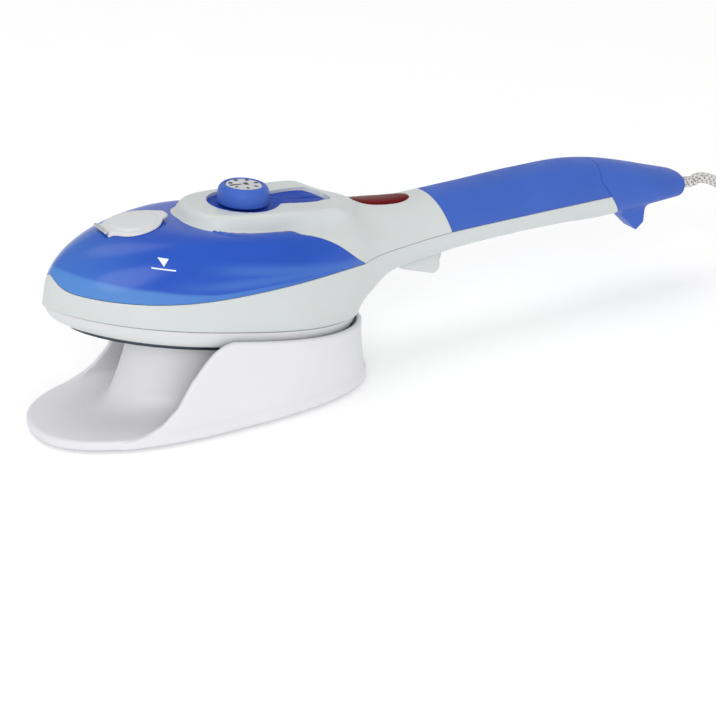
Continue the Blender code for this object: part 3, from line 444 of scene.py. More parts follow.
def make_cord():
    line = cord_line()
    sides, rows, uvs = 14, [], []
    tangents = np.gradient(line, axis=0)
    normal = Vector((0, 0, 1))
    for centre, tangent in zip(line, tangents):
        tangent = Vector(tangent).normalized()
        normal = (normal - tangent * normal.dot(tangent)).normalized()
        side = tangent.cross(normal)
        turn = [2 * math.pi * k / sides for k in range(sides)]
        spokes = [math.cos(a) * normal + math.sin(a) * side for a in turn]
        rows.append([Vector(centre) + CORD_RADIUS * spoke for spoke in spokes])
    points, faces = loft(rows)
    mesh = bpy.data.meshes.new("mains_cord_braid")
    mesh.from_pydata([Vector(p) * MM for p in points], [], faces)
    uv = mesh.uv_layers.new(name="UVMap")
    walked = np.concatenate([[0], np.cumsum(np.linalg.norm(np.diff(line, axis=0), axis=1))])
    for polygon in mesh.polygons:
        members = [mesh.loops[i].vertex_index for i in polygon.loop_indices]
        seam = max(m % sides for m in members) == sides - 1 and min(m % sides for m in members) == 0
        for i, m in zip(polygon.loop_indices, members):
            around = m % sides
            around = sides if seam and around == 0 and len(members) == 4 else around
            uv.data[i].uv = (around / sides, walked[m // sides] / (2 * math.pi * CORD_RADIUS))
    item = bpy.data.objects.new("mains_cord_braid", mesh)
    bpy.context.scene.collection.objects.link(item)
    mesh.shade_smooth()
    paint(item, "braid")
    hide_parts("mains_cord", "cord_coil", "cord_tail")
    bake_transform(item)


make_cord()


# ---------------------------------------------------------------- surface net
def grid_of(low, high, step):
    """The axes of a grid as x, y, z, and a measure that makes a field into distances on it."""
    axes = [np.arange(a, b, step) for a, b in zip(low, high)]
    shape = [len(a) for a in axes]

    def measure(field, *place):
        f = np.broadcast_to(field(*place), shape).astype(np.float32)
        g = np.gradient(f, step)
        return f / np.sqrt(g[0] ** 2 + g[1] ** 2 + g[2] ** 2 + 1e-7)

    return np.meshgrid(*axes, indexing="ij", sparse=True), measure


def surface_net(value, low, step):
    """Quads round the positive part of a grid of values, with a point in each crossed cell."""
    inside = value > 0
    shape = np.array(value.shape) - 1
    flat_size = int(np.prod(shape))
    total = np.zeros((3, flat_size))
    hits = np.zeros(flat_size)
    edges = []
    for axis in range(3):
        first = [slice(None)] * 3
        second = [slice(None)] * 3
        first[axis], second[axis] = slice(0, -1), slice(1, None)
        first, second = tuple(first), tuple(second)
        where = np.argwhere(inside[first] != inside[second])
        a = value[first][tuple(where.T)].astype(float)
        b = value[second][tuple(where.T)].astype(float)
        point = where.astype(float)
        point[:, axis] += a / (a - b)
        u, v = [i for i in range(3) if i != axis]
        cells = []
        for du, dv in ((1, 1), (0, 1), (0, 0), (1, 0)):
            cell = where.copy()
            cell[:, u] -= du
            cell[:, v] -= dv
            good = np.all((cell >= 0) & (cell < shape), axis=1)
            flat = np.where(good, np.ravel_multi_index(np.clip(cell, 0, shape - 1).T, shape), -1)
            for i in range(3):
                total[i] += np.bincount(flat[good], point[good, i], flat_size)
            hits += np.bincount(flat[good], minlength=flat_size)
            cells.append(flat)
        quads = np.stack(cells, 1)
        flip = (a > 0) == (axis == 1)
        quads[flip] = quads[flip][:, ::-1]
        edges.append(quads[np.all(quads >= 0, axis=1)])
    used = np.flatnonzero(hits)
    index = np.full(flat_size, -1)
    index[used] = np.arange(len(used))
    points = (total[:, used] / hits[used]).T * step + low
    return points, index[np.concatenate(edges)]


def slope(function, points, h=0.15):
    """Gradient of a function of x, y, z at points."""
    result = np.zeros_like(points)
    for i in range(3):
        shift = np.zeros(3)
        shift[i] = h
        result[:, i] = (function(*(points + shift).T) - function(*(points - shift).T)) / (2 * h)
    return result


SETTLE_REACH = 0.8


def settle(function, points, rounds=3):
    """Moves points onto the zero surface of a function; a point that would go far stays."""
    start = points
    for _ in range(rounds):
        value = function(*points.T)
        g = slope(function, points)
        move = value / np.maximum((g**2).sum(1), 0.05)
        move = np.clip(move * np.sqrt((g**2).sum(1)), -1.2, 1.2)
        points = points - g / np.sqrt((g**2).sum(1))[:, None] * move[:, None]
    far = np.linalg.norm(points - start, axis=1) > SETTLE_REACH
    return np.where(far[:, None], start, points)


def keep_positive(points, faces, value):
    """The part of a skin where a value at its points is positive, cut cleanly at zero."""
    points = [tuple(p) for p in points]
    positive = value > 0
    result, made, renamed = [], {}, {}
    out_points, source = [], []

    def old(i):
        if i not in renamed:
            renamed[i] = len(out_points)
            out_points.append(points[i])
        return renamed[i]

    def cut(i, j):
        key = (i, j) if i < j else (j, i)
        if key not in made:
            a, b = key
            t = value[a] / (value[a] - value[b])
            made[key] = len(out_points)
            out_points.append(tuple(m + (n - m) * t for m, n in zip(points[a], points[b])))
        return made[key]

    for face in faces:
        signs = [positive[i] for i in face]
        if all(signs):
            result.append([old(i) for i in face])
        elif any(signs):
            polygon = []
            for n, i in enumerate(face):
                j = face[(n + 1) % len(face)]
                if positive[i]:
                    polygon.append(old(i))
                if positive[i] != positive[j]:
                    polygon.append(cut(i, j))
            if len(polygon) > 2:
                result.append(polygon)
    return np.array(out_points), result


def rim_edges(faces):
    """Directed edges that only one face has."""
    seen = {}
    for face in faces:
        for n, i in enumerate(face):
            seen[(i, face[(n + 1) % len(face)])] = True
    return [(i, j) for i, j in seen if (j, i) not in seen]


def turn_in(points, faces, function, depth=1.6, ease=0.16, choose=None):
    """Rounds a skin's rim and turns it inwards as a lip."""
    rim = rim_edges(faces)
    members = sorted({i for edge in rim for i in edge})
    normals = -slope(function, points[members])
    normals /= np.linalg.norm(normals, axis=1)[:, None]
    order = {m: n for n, m in enumerate(members)}
    ends = np.array([(order[i], order[j]) for i, j in rim])
    for _ in range(4):
        near = normals.copy()
        np.add.at(near, ends[:, 0], normals[ends[:, 1]])
        np.add.at(near, ends[:, 1], normals[ends[:, 0]])
        normals = near / np.linalg.norm(near, axis=1)[:, None]
    points = points.copy()
    points[members] -= normals * ease
    extra = {m: len(points) + n for n, m in enumerate(members)}
    inner = points[members] - normals * depth
    faces = [list(f) for f in faces] + [[j, i, extra[i], extra[j]] for i, j in rim]
    return np.concatenate([points, inner]), faces


# ---------------------------------------------------------------- the head and handle solid
HANDLE = (
    (140, 14.5, 64.8, 25.0),
    (150, 12.0, 65.4, 22.8),
    (161, 12.0, 66.2, 20.6),
    (170, 18.0, 66.8, 19.1),
    (177.5, 26.5, 67.4, 17.9),
    (186, 31.8, 68.6, 17.0),
    (196, 35.0, 71.0, 16.1),
    (205, 37.6, 73.2, 15.5),
    (220, 42.2, 76.7, 15.1),
    (255, 50.7, 85.0, 15.0),
    (290, 57.5, 91.4, 15.0),
    (306, 60.0, 92.0, 15.0),
    (326, 64.6, 91.0, 14.6),
    (345, 69.6, 89.2, 13.6),
    (358, 73.0, 88.0, 12.6),
    (366, 74.8, 87.2, 11.2),
    (372, 76.0, 86.4, 9.6),
)


def through(table, x):
    """Smooth values at x through rows of a table."""
    table = np.array(table, float)
    known = table[:, 0]
    slopes = np.gradient(table[:, 1:], known, axis=0)
    fine = np.linspace(known[0], known[-1], 700)
    i = np.clip(np.searchsorted(known, fine) - 1, 0, len(known) - 2)
    span = (known[i + 1] - known[i])[:, None]
    t = ((fine - known[i])[:, None]) / span
    a, b = table[i, 1:], table[i + 1, 1:]
    curve = (
        a * (1 + 2 * t) * (1 - t) ** 2
        + slopes[i] * span * t * (1 - t) ** 2
        + b * t * t * (3 - 2 * t)
        - slopes[i + 1] * span * t * t * (1 - t)
    )
    return [np.interp(x, fine, curve[:, k]) for k in range(curve.shape[1])]


def hull_field(x, y, z):
    rise = np.clip((z - 20) / 35.01, 0, 1)
    nose = 62 * (1 - np.sqrt(1 - rise**2))
    lean = np.maximum(z - 24, 0) / 38.5
    wide = 38.6 * np.maximum(1 - lean**3.4, 1e-3) ** (1 / 3.4)
    heel = 169.5 + 6 * smoothstep((z - 8) / 30)
    ahead = np.maximum((92 - x) / (92 - nose), 0)
    behind = np.maximum((x - 92) / (heel - 92), 0)
    across = np.abs(y) / wide
    return 1 - ahead**2.6 - behind**2.4 - across ** np.where(x < 92, 1 / 0.65, 1 / 0.63)


def neck_field(x, y, z):
    bottom, top, wide = through(HANDLE, x)
    return 1 - (np.abs(y) / wide) ** 2.4 - np.abs((2 * z - top - bottom) / (top - bottom)) ** 2.4


def to_console(x, y, z):
    c, s = math.cos(CONSOLE_SLOPE), math.sin(CONSOLE_SLOPE)
    dx, dz = x - CONSOLE_AT[0], z - CONSOLE_AT[2]
    return dx * c + dz * s, y, dz * c - dx * s


def console_field(x, y, z):
    cx, cy, cz = to_console(x, y, z)
    grow = np.clip((-1.5 - cz) / 7.5, -0.2, 1.35)
    cx = 11.5 + (cx - 11.5) / (1 + grow * 4.6 / 42.5)
    cy = np.abs(cy) - 1.9 * grow * smoothstep((14 - cx) / 26)
    half = 21.5 + 0.055 * (cx + 12)
    return 1 - (np.abs(cx - 11.5) / 42.5) ** 4.8 - np.maximum(cy / half, 0) ** 2.3


def roof_drop(cx):
    """How far the console's top falls away from its plane towards the neck."""
    return -4.6 * smoothstep((cx - 37) / 18)


def console_roof(x, y, z):
    cx, _, cz = to_console(x, y, z)
    return roof_drop(cx) - cz


HOOK = ((321, 72), (328.5, 61.8), (339.8, 54.6), (343.8, 59.4), (341.8, 72))


def polygon_depth(outline, x, z):
    """Distance inside a convex outline in the x-z plane."""
    depth = np.full(np.broadcast(x, z).shape, 1e3)
    for (x0, z0), (x1, z1) in zip(outline, outline[1:] + outline[:1]):
        dx, dz = x1 - x0, z1 - z0
        depth = np.minimum(depth, ((x - x0) * -dz + (z - z0) * dx) / -math.hypot(dx, dz))
    return depth


def tank_roof(x):
    """Height of the tank's flat top, which rises a little towards the neck."""
    return 55.4 + 1.6 * smoothstep((x - 76) / 40)


def solids(x, y, z, measure):
    """Depth inside the hull, the cover and the whole, from raw fields made into distances."""
    hull = smooth_min(measure(hull_field, x, y, z), tank_roof(x) - z, 3.0)
    neck = np.minimum(measure(neck_field, x, y, z), x - 138.0)
    hook = smooth_min(polygon_depth(HOOK[::-1], x, z), 6.6 - np.abs(y), 2.0)
    neck = smooth_max(smooth_min(neck, 362.6 - x, 2.2), hook, 3.0)
    console = smooth_min(measure(console_field, x, y, z), console_roof(x, y, z), 2.2)
    cover = smooth_max(console, neck, 7.0)
    blend = 0.8 + 5.2 * smoothstep((x - 100) / 25)
    return hull, cover, smooth_max(hull, cover, blend)


def point_measure(field, x, y, z):
    points = np.stack(np.broadcast_arrays(x, y, z), 1).astype(float)
    g = slope(field, points)
    return field(x, y, z) / np.sqrt((g**2).sum(1) + 1e-9)


def whole(x, y, z):
    return solids(x, y, z, point_measure)[2]


NET_STEP = 1.0


def make_skin():
    low = np.array([-4.2, -42.5, 8.0])
    high = np.array([374.0, 42.5, 97.0])
    place, measure = grid_of(low, high, NET_STEP)
    value = solids(*place, measure)[2]
    points, quads = surface_net(np.array(value), low, NET_STEP)
    return settle(whole, points), quads


NOSE_HOOK = 8.5


def side_line(x):
    """Height of the line between the lower mouldings and what lies above them."""
    edge = 21.5 + 19.3 * smoothstep((np.maximum(x, 0) / 158) ** 1.3)
    edge = edge + NOSE_HOOK * np.exp(-np.maximum(x, -3) / 2.2)
    neck = 40.8 + (x - 156) * 0.25
    grip = 54.55 + (x - 211) * 0.2122
    return np.where(x < 156, edge, np.where(x < 211, neck, grip))


TANK_TAIL = (
    (90, 57.0),
    (112, 56.8),
    (124, 55.6),
    (133.6, 52.7),
    (143.3, 47.8),
    (150, 44.1),
    (157, 40.9),
)


def keyhole_half_width(cx):
    disc = np.sqrt(np.maximum(17.6**2 - cx**2, 0))
    tail = np.sqrt(np.clip(1 - (np.maximum(cx - 33, 0) / 14.3) ** 2, 0, 1))
    strip = (9.0 + 2.3 * smoothstep((cx - 14) / 16)) * tail
    strip = np.where(cx > 5, strip, 0)
    return smooth_max(disc, strip, 3.0)


def keyhole_outline(inset=0.0, count=70):
    xs = 14.85 - 32.45 * np.cos(np.linspace(0, math.pi, count))
    ys = keyhole_half_width(xs)
    ys[0] = ys[-1] = 0.0
    side = np.stack([xs, ys], 1)
    ring = np.concatenate([side, side[-2:0:-1] * [1, -1]])
    forward = np.roll(ring, -1, 0) - np.roll(ring, 1, 0)
    normal = np.stack([forward[:, 1], -forward[:, 0]], 1)
    normal /= np.linalg.norm(normal, axis=1)[:, None]
    return ring + normal * inset


def outline_depth(outline, px, py):
    """Distance inside a closed outline, negative outside, for points given as arrays."""
    a = outline
    b = np.roll(outline, -1, 0)
    near = np.full(px.shape, 1e9)
    inside = np.zeros(px.shape, bool)
    for (ax, ay), (bx, by) in zip(a, b):
        dx, dy = bx - ax, by - ay
        t = np.clip(((px - ax) * dx + (py - ay) * dy) / (dx * dx + dy * dy + 1e-12), 0, 1)
        near = np.minimum(near, np.hypot(px - ax - t * dx, py - ay - t * dy))
        crosses = (ay > py) != (by > py)
        inside ^= crosses & (px < ax + (py - ay) * dx / (dy if abs(dy) > 1e-12 else 1e-12))
    return np.where(inside, near, -near)


LENS_CENTRE, LENS_REACH, LENS_HALF = 173.4, 16.6, 6.9


def lens_depth(x, y):
    across = (np.abs(x - LENS_CENTRE) / LENS_REACH) ** 2.5 + (np.abs(y) / LENS_HALF) ** 2.5
    return (1 - across) * LENS_HALF / 2.5


SEAM = 0.16
CORD_HEIGHT = 81.2
SLOT_LOW, SLOT_HIGH = (185.6, 5.3), (219.0, 44.0)


def make_body():
    points, quads = make_skin()
    skin = (points, quads.tolist())

    def regions(p):
        x, y, z = p.T
        line = z - side_line(x)
        tail = np.where(x > 156.8, 40.0, z - through(TANK_TAIL, x)[0])
        foot = np.maximum(20 * (console_field(x, y, z) + 0.12), z - tank_roof(x) - 0.7)
        share = smoothstep((x - 108) / 8)
        top = (1 - share) * foot + share * tail
        grip = x - (211.3 - 0.711 * (z - 54.8))
        cap = x - (301.4 + 0.98 * np.maximum(84 - z, 0) ** 1.02)
        return line, top, grip, cap

    def carve(*tests):
        p, f = skin
        for test in tests:
            value = test(p)
            p, f = keep_positive(p, f, value)
        return p, f

    def finish(name, shape, slot, nodes, depth=1.6):
        p, f = turn_in(*shape, whole, depth)
        return piece(name, p, f, "steamer", slot, nodes)

    tank = carve(
        lambda p: regions(p)[0] - SEAM,
        lambda p: -regions(p)[1] - 0.1,
    )
    finish("tank_shell", tank, "tank_plastic", ["water_tank"])

    def slot_clear(p):
        x, y, z = p.T
        box = np.minimum(np.minimum(x - SLOT_LOW[0], SLOT_HIGH[0] - x), SLOT_LOW[1] - np.abs(y))
        return -np.minimum(box, SLOT_HIGH[1] - z)

    lower = carve(
        lambda p: p[:, 2] - 11.2,
        lambda p: -regions(p)[0] - SEAM,
        lambda p: -regions(p)[3] - SEAM,
        slot_clear,
    )
    finish("lower_body_shell", lower, "grey_plastic", ["lower_housing", "handle_lower_shell"])

    keyhole = keyhole_outline()

    def keyhole_clear(p):
        cx, cy, cz = to_console(*p.T)
        depth = outline_depth(keyhole, cx, cy)
        return np.where(cz > -9, -depth, 30.0)

    cover = carve(
        lambda p: np.where(p[:, 0] < 156.5, 10.0, regions(p)[0] - SEAM),
        lambda p: regions(p)[1],
        lambda p: np.where(p[:, 0] < 130, 10.0, regions(p)[0]) - SEAM,
        lambda p: -regions(p)[2] - SEAM,
        keyhole_clear,
        lambda p: np.where(p[:, 2] > 55, -lens_depth(p[:, 0], p[:, 1]), 5.0),
    )
    covered = ["console_cover", "neck_upper_cover"]
    finish("console_and_neck_cover", cover, "grey_plastic", covered, 2.4)

    grip = carve(
        lambda p: regions(p)[0] - SEAM,
        lambda p: regions(p)[2] - SEAM,
        lambda p: -regions(p)[3] - SEAM,
    )
    finish("grip_shell", grip, "blue_plastic", ["grip_cover"])

    def bore_clear(p):
        x, y, z = p.T
        return np.where(x > 354, np.hypot(y, z - CORD_HEIGHT) - 4.3, 10.0)

    cap = carve(lambda p: regions(p)[3] - SEAM, bore_clear)
    finish("end_cap_shell", cap, "blue_plastic", ["end_cap"])

    p, f = carve(
        lambda q: q[:, 2] - 55,
        lambda q: lens_depth(q[:, 0], q[:, 1]) - 0.12,
    )
    normals = -slope(whole, p)
    normals /= np.linalg.norm(normals, axis=1)[:, None]
    dome = 0.75 * (1 - np.exp(-np.maximum(lens_depth(p[:, 0], p[:, 1]), 0) / 0.9))
    p = p + normals * dome[:, None]
    rim = rim_edges(f)
    members = sorted({i for edge in rim for i in edge})
    extra = {m: len(p) + n for n, m in enumerate(members)}
    p = np.concatenate([p, p[members] - normals[members] * 1.8])
    f = [list(face) for face in f] + [[j, i, extra[i], extra[j]] for i, j in rim]
    piece("lens_pad", p, f, "steamer", "red_lens", ["indicator_lens"])


make_body()


# ---------------------------------------------------------------- head details
def iron_ring(nose, heel, wide, z, count=200):
    ring = []
    for k in range(count):
        angle = 2 * math.pi * k / count
        reach = heel - 92 if math.cos(angle) > 0 else 92 - nose
        place = abs(math.cos(angle))
        powers = (2.4, 0.63) if math.cos(angle) > 0 else (2.6, 0.65)
        y = wide * max(0.0, 1 - place ** powers[0]) ** powers[1]
        ring.append((92 + reach * math.cos(angle), math.copysign(y, math.sin(angle)), z))
    return ring


def make_skirt():
    """The pale band round the hot plate, drawn in towards the sole."""
    table = ((2.6, 10.6, 166.6, 36.3), (4.0, 7.6, 167.7, 37.2), (6.0, 4.6, 168.6, 37.9))
    table += ((8.4, 2.6, 169.2, 38.3), (10.8, 1.2, 169.5, 38.5))
    rows = []
    for z, grow in ((4.0, 3.4), (2.75, 3.0), (2.6, 1.2), (2.7, 0.5), (3.0, 0.15), (3.6, 0.0)):
        nose, heel, wide = through(table, z)
        rows.append(iron_ring(nose + grow, heel - grow, wide - grow, z))
    for z in np.arange(4.4, 10.3, 0.8):
        nose, heel, wide = through(table, z)
        rows.append(iron_ring(nose, heel, wide, z))
    for z, grow in ((10.5, 0.04), (10.72, 0.2), (10.8, 0.5), (10.8, 2.4)):
        nose, heel, wide = through(table, z)
        rows.append(iron_ring(nose + grow, heel - grow, wide - grow, z))
    shape = loft(rows, caps=(False, False))
    piece("skirt_band", *shape, "steamer", "grey_plastic", ["heat_shield_skirt"], shade="skirt")


def hull_height(x, y):
    """Height of the tank's skin above points near its middle."""
    low, high = np.full(x.shape, 24.0), np.full(x.shape, 55.4)
    for _ in range(30):
        middle = (low + high) / 2
        inside = hull_field(x, y, middle) > 0
        low, high = np.where(inside, middle, low), np.where(inside, high, middle)
    return low


CAP_FRONT, CAP_TIP, CAP_MIDDLE, CAP_RADIUS = 24.6, 56.2, 39.0, 13.8


def cap_half_width(x):
    disc = np.sqrt(np.maximum(CAP_RADIUS**2 - (x - CAP_MIDDLE) ** 2, 0))
    hinge = np.where(x < CAP_MIDDLE, 7.4, 0)
    tab = 5.2 * np.sqrt(np.clip(1 - (np.maximum(x - 51.0, 0) / 5.25) ** 2, 0, 1))
    tab = np.where(x > CAP_MIDDLE, tab, 0)
    return smooth_max(smooth_max(disc, hinge, 2.0), tab, 3.0)


def make_cap():
    """Push-in flap: straight at the hinge, round over the mouth, with an upturned finger tab."""
    along = np.concatenate(
        [[CAP_FRONT, CAP_FRONT + 0.1, CAP_FRONT + 0.4], np.linspace(CAP_FRONT + 1, CAP_TIP - 0.6, 52)]
    )
    along = np.concatenate([along, [CAP_TIP - 0.3, CAP_TIP - 0.1, CAP_TIP - 0.02]])
    across = np.sin(np.linspace(-math.pi / 2, math.pi / 2, 41))
    x, v = np.meshgrid(along, across, indexing="ij")
    y = v * cap_half_width(x)
    spine = hull_height(x, 0 * y)
    sides = hull_height(x, y)
    seat = spine + np.maximum(sides - spine, -2.0)
    edge = np.minimum(np.minimum(cap_half_width(x) - np.abs(y), x - CAP_FRONT), CAP_TIP - x)
    round_off = 1.2 * (1 - np.sqrt(np.clip(1 - (1 - np.clip(edge / 1.2, 0, 1)) ** 2, 0, 1)))
    curl = 1.3 * smoothstep((x - 46) / 9)
    ring = np.hypot(x - CAP_MIDDLE, y)
    raised = 0.5 * (1 - smoothstep((ring - 10.4) / 1.6)) - 0.3 * np.exp(-(((ring - 11.9) / 0.6) ** 2))
    top = seat + 1.5 + curl + raised - round_off
    bottom = seat + 0.25 + curl
    rows = []
    for i in range(len(along)):
        over = [(x[i, k], y[i, k], top[i, k]) for k in range(len(across))]
        under = [(x[i, k], y[i, k], min(bottom[i, k], top[i, k])) for k in reversed(range(len(across)))]
        rows.append(over + under)
    piece("flap_cap", *loft(rows), "cap", "white_plastic", ["filler_cap"], shade="skirt", sharp=60)
    knuckle = []
    for y0, r in ((-6.6, 0.3), (-6.3, 0.9), (6.3, 0.9), (6.6, 0.3)):
        turn = [2 * math.pi * k / 24 for k in range(24)]
        high = float(hull_height(np.array([23.6]), np.array([0.0]))[0]) + 1.45
        knuckle.append([(23.6 + r * math.cos(a), y0, high + r * math.sin(a)) for a in turn])
    piece("hinge_barrel", *loft(knuckle), "steamer", "steel", ["cap_hinge_pin"])


def make_dial():
    profile = [(4.0, -1.4), (4.0, -0.6), (12.2, -0.6), (12.6, -0.3), (12.7, 0.2), (12.6, 3.0)]
    profile += [(12.4, 5.2), (12.1, 6.3), (11.5, 7.3), (10.7, 8.0), (9.9, 8.4), (9.3, 8.45)]
    profile += [(9.1, 8.3), (9.0, 7.7), (8.8, 7.6), (4.0, 7.6)]
    points, faces = turned(profile, 144)
    piece("dial_knob", points, faces, "dial", "blue_plastic", ["steam_dial"], CONSOLE, sharp=50)
    face = [(0, 8.42), (4.0, 8.42), (7.6, 8.36), (8.5, 8.2), (8.85, 7.9), (8.9, 7.4), (0, 7.4)]
    points, faces = turned(face, 96)
    piece("dial_plate", points, faces, "dial", "steel", ["dial_disc"], CONSOLE, "disc")
    marks = []
    for angle, r0, r1, wide in (
        *((a, 5.4, 7.4, 0.42 + 0.09 * n) for n, a in enumerate(range(-150, 151, 50))),
        (180, 1.2, 7.6, 0.55),
        (0, 0.0, 2.2, 1.5),
    ):
        turn = math.radians(angle)
        c, t = math.cos(turn), math.sin(turn)
        corners = [(r0, -wide), (r1, -wide * 1.15), (r1, wide * 1.15), (r0, wide)]
        marks.append([(r * c - w * t, r * t + w * c) for r, w in corners])
    points, faces = [], []
    for mark in marks:
        start = len(points)
        points += [(x, y, 8.3) for x, y in mark] + [(x, y, 8.47) for x, y in mark]
        faces += [tuple(start + 4 + k for k in range(4)), tuple(start + 3 - k for k in range(4))]
        faces += [tuple(start + k for k in (a, (a + 1) % 4, (a + 1) % 4 + 4, a + 4)) for a in range(4)]
    piece("dial_marks", points, faces, "dial", "steel", (), CONSOLE, "print_black")


def make_trim():
    """Keyhole-shaped tray under the dial, at the foot of its recess."""
    rows = []
    for z, inset in ((-3.6, 0.4), (-1.35, 0.4), (-1.0, 0.5), (-0.95, 0.9), (-1.6, 1.7), (-1.75, 2.6)):
        ring = keyhole_outline(-inset, 110)
        rows.append([(x, y, z + float(roof_drop(x))) for x, y in ring])
    for share in (0.8, 0.6, 0.4, 0.2, 0.05):
        ring = keyhole_outline(-2.6, 110)
        rows.append([(x, y * share, -1.75 + float(roof_drop(x))) for x, y in ring])
    piece("trim_tray", *loft(rows), "steamer", "navy_plastic", ["dial_trim_plate"], CONSOLE)


def offset_ring(ring, inset):
    ring = np.asarray(ring, float)
    forward = np.roll(ring, -1, 0) - np.roll(ring, 1, 0)
    normal = np.stack([-forward[:, 1], forward[:, 0]], 1)
    normal /= np.linalg.norm(normal, axis=1)[:, None]
    area = (ring[:, 0] * np.roll(ring[:, 1], -1) - ring[:, 1] * np.roll(ring[:, 0], -1)).sum()
    return ring + normal * (inset if area > 0 else -inset)


def closed_curve(knots, steps=8):
    knots = np.asarray(knots, float)
    result = []
    for i in range(len(knots)):
        a, b, c, d = (knots[(i + k - 1) % len(knots)] for k in range(4))
        for k in range(steps):
            t = k / steps
            bend = (2 * a - 5 * b + 4 * c - d) * t * t + (3 * b - a - 3 * c + d) * t**3
            result.append(0.5 * (2 * b + (c - a) * t + bend))
    return np.array(result)


TRIGGER_SHAPE = (
    (187.4, 35.2),
    (190.0, 32.4),
    (194.6, 30.6),
    (203.0, 29.7),
    (210.0, 28.9),
    (213.6, 28.9),
    (215.8, 31.6),
    (215.2, 36.0),
    (214.6, 40.2),
    (204.0, 40.4),
    (194.0, 40.4),
    (188.0, 39.4),
)


def make_trigger():
    side = closed_curve(TRIGGER_SHAPE, 6)
    rows = []
    for y, inset in ((-4.4, 1.5), (-4.3, 0.8), (-3.9, 0.25), (-3.3, 0.0), (-1.6, -0.12), (0, -0.16)):
        rows.append([(x, y, z) for x, z in offset_ring(side, inset)])
    rows += [[(x, -y, z) for x, y, z in row] for row in reversed(rows[:-1])]
    piece("trigger_fin", *loft(rows), "trigger", "grey_plastic", ["trigger"], sharp=60)


def side_point(x, z, proud=0.08):
    """A point on the near side of the tank, a little proud of its skin."""
    rise = (z - 20) / 35.01
    nose = 62 * (1 - math.sqrt(1 - rise**2))
    wide = 38.6 * (1 - ((z - 24) / 38.5) ** 3.4) ** (1 / 3.4)
    heel = 169.5 + 6 * float(smoothstep((z - 8) / 30))
    if x < 92:
        y = wide * (1 - ((92 - x) / (92 - nose)) ** 2.6) ** 0.65
    else:
        y = wide * (1 - ((x - 92) / (heel - 92)) ** 2.4) ** 0.63
    return (x, -(y + proud), z)


MARK_X, MARK_Z, MARK_LENGTH = 37.5, 39.6, 10.5


def make_level_mark():
    """Fill line on the tank with a small pointer above it."""
    points, faces = [], []

    def patch(corners):
        start = len(points)
        for lift in (0.25, -0.3):
            points.extend(side_point(x, z, lift) for x, z in corners)
        count = len(corners)
        faces.append(tuple(start + k for k in range(count)))
        faces.append(tuple(start + count + k for k in reversed(range(count))))
        for a in range(count):
            b = (a + 1) % count
            faces.append((start + b, start + a, start + count + a, start + count + b))

    steps = 10
    for k in range(steps):
        a = MARK_X + MARK_LENGTH * k / steps
        b = MARK_X + MARK_LENGTH * (k + 1) / steps
        patch([(a, MARK_Z), (b, MARK_Z), (b, MARK_Z + 0.55), (a, MARK_Z + 0.55)])
    middle = MARK_X + MARK_LENGTH / 2
    rows = 7
    for k in range(rows):
        low, high = k / rows, (k + 1) / rows
        a, b = 2.3 * low, 2.3 * high
        z0, z1 = MARK_Z + 1.5 + 3.4 * low, MARK_Z + 1.5 + 3.4 * high
        for side in (-1, 1):
            outer = [(middle + side * a + side * 0.05, z0), (middle + side * b, z1)]
            strip = [(middle, z0), *outer, (middle, z1)]
            patch(strip if side > 0 else strip[::-1])
    piece("level_mark", points, faces, "steamer", "tank_plastic", (), shade="print_white")


def make_collar():
    """Short collar round the cord where it leaves the end cap."""
    rows = []
    for x, r in ((352.0, 3.3), (352.4, 3.9), (362.0, 3.9), (362.9, 3.75), (363.2, 3.3)):
        turn = [2 * math.pi * k / 48 for k in range(48)]
        rows.append([(x, r * math.cos(a), CORD_HEIGHT + r * math.sin(a)) for a in turn])
    piece("cord_collar", *loft(rows), "steamer", "navy_plastic", ["cord_gland"])


make_skirt()
make_collar()
make_cap()
make_dial()
make_trim()
make_trigger()
make_level_mark()


# ---------------------------------------------------------------- stand
STAND_NOSE, STAND_MIDDLE, STAND_REAR, STAND_WIDE = -193.0, -105.0, -19.0, 44.5
S_EDGE = (
    (5.0, -162.0),
    (6.1, -154.2),
    (11.0, -144.0),
    (17.9, -136.2),
    (29.8, -128.2),
    (38.0, -120.8),
    (42.0, -116.2),
    (44.4, -111.5),
    (46.0, -104.0),
    (49.0, -90.0),
)


def rim_plane(x):
    """World height of the stand's rim above a world x."""
    c, t = math.cos(PITCH), math.sin(PITCH)
    along = (x - STEAMER_AT[0] - 7.4 * t) / c
    return STEAMER_AT[2] - along * t + 7.4 * c


def sole_plane(x):
    return STEAMER_AT[2] - (x - STEAMER_AT[0]) * math.tan(PITCH)


def base_field(x, y, z):
    front = (np.maximum(STAND_MIDDLE - x, 0) / (STAND_MIDDLE - STAND_NOSE)) ** 2.35
    rear = (np.maximum(x - STAND_MIDDLE, 0) / (STAND_REAR - STAND_MIDDLE)) ** 2.8
    across = np.abs(y) / STAND_WIDE
    return 1 - front - rear - np.where(x < STAND_MIDDLE, across**2.35, across**2.8) + 0 * z


def rim_field(x, y, z):
    """The head's outline, a wall's thickness outside the skirt, carried to world x."""
    c, t = math.cos(PITCH), math.sin(PITCH)
    along = (x - STEAMER_AT[0] - 7.4 * t) / c
    ahead = (np.maximum(92 - along, 0) / 94.6) ** 2.6
    behind = (np.maximum(along - 92, 0) / 81.3) ** 2.4
    across = np.abs(y) / 42.4
    return 1 - ahead - behind - across ** np.where(along < 92, 1 / 0.65, 1 / 0.63) + 0 * z


def wall_field(x, y, z):
    level = np.clip((z - 4.2) / (rim_plane(x) - 4.2), 0, 1.1)
    return base_field(x, y, z) * (1 - level) + rim_field(x, y, z) * level


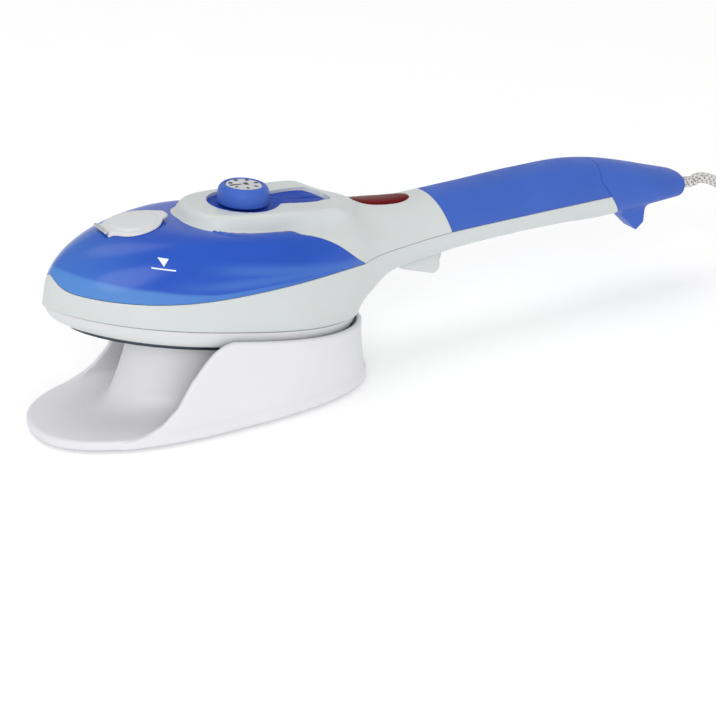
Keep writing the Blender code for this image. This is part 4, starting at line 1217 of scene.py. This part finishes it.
def pillar_field(x, y, z):
    c, t = math.cos(PITCH), math.sin(PITCH)
    along = (x - STEAMER_AT[0]) / c
    drop = np.clip((sole_plane(x) - z) / 40, 0, 1.2)
    nose, wide = 46 - 15 * drop**1.3, 22 + 4.5 * drop
    ahead = (np.maximum(92 - along, 0) / (92 - nose)) ** 2.6
    behind = (np.maximum(along - 92, 0) / (58 + 2 * drop)) ** 2.4
    return 1 - ahead - behind - (np.abs(y) / wide) ** 1.56


def stand_solid(x, y, z, measure):
    foot = smooth_min(measure(base_field, x, y, z), 6.2 - z, 1.6)
    foot = smooth_min(foot, z - 1.5, 1.2)
    outer = measure(wall_field, x, y, z)
    wall = smooth_min(outer, 2.7 - outer, 0.8)
    wall = smooth_min(wall, rim_plane(x) - z, 1.2)
    edge = np.array(S_EDGE)
    front = np.interp(z, edge[:, 0], edge[:, 1])
    wall = smooth_min(wall, (x - front) * 0.72, 1.2)
    wall = np.minimum(wall, z - 2.5)
    pillar = smooth_min(measure(pillar_field, x, y, z), (sole_plane(x) - 0.45 - z) * 0.978, 1.4)
    pillar = np.minimum(pillar, z - 2.5)
    solid = smooth_max(foot, wall, 3.0)
    return smooth_min(smooth_max(solid, pillar, 11.0), z - 1.5, 0.8)


STAND_STEP = 0.95


def make_stand():
    low = np.array([-195.0, -46.5, 0.0])
    high = np.array([-11.0, 46.5, 51.0])
    place, measure = grid_of(low, high, STAND_STEP)
    value = np.array(stand_solid(*place, measure))
    value[:, :, 0] = -1
    points, quads = surface_net(value, low, STAND_STEP)
    points = settle(lambda *p: stand_solid(*p, point_measure), points)
    piece("stand_body", points, quads, "stand", "white_plastic", ["stand_shell"], WORLD, sharp=65)


make_stand()


# ---------------------------------------------------------------- stage
floor_mesh = bpy.data.meshes.new("floor")
floor_mesh.from_pydata([(-4, -4, 0), (4, -4, 0), (4, 4, 0), (-4, 4, 0)], [], [(0, 1, 2, 3)])
floor = bpy.data.objects.new("floor", floor_mesh)
bpy.context.scene.collection.objects.link(floor)
floor_mesh.materials.append(plastic("floor_white", (0.93, 0.93, 0.93), 0.8, 400.0, 0.0, 0.003))
# the floor shines a little, so that it stays as pale as the photograph's white ground
glow = floor_mesh.materials[0].node_tree.nodes["Principled BSDF"].inputs
glow["Emission Color"].default_value = (1.0, 1.0, 1.0, 1.0)
glow["Emission Strength"].default_value = 0.16


def area_light(name, place, aim, size, power, colour=(1, 1, 1)):
    data = bpy.data.lights.new(name, "AREA")
    data.shape = "DISK"
    data.size = size
    data.energy = power
    data.color = colour
    light = bpy.data.objects.new(name, data)
    light.location = place
    light.rotation_euler = (Vector(aim) - Vector(place)).to_track_quat("-Z", "Y").to_euler()
    bpy.context.scene.collection.objects.link(light)


def make_lights():
    world = bpy.data.worlds.new("studio")
    world.use_nodes = True
    world.node_tree.nodes["Background"].inputs[0].default_value = (1.0, 1.0, 1.0, 1.0)
    world.node_tree.nodes["Background"].inputs[1].default_value = 0.72
    bpy.context.scene.world = world
    area_light("front", (-1.2, -1.9, 1.0), (0, 0, 0.04), 1.6, 18)
    area_light("top", (-0.4, 0.3, 2.2), (0, 0, 0.04), 1.2, 7)
    bpy.context.scene.view_settings.view_transform = "Standard"


make_lights()
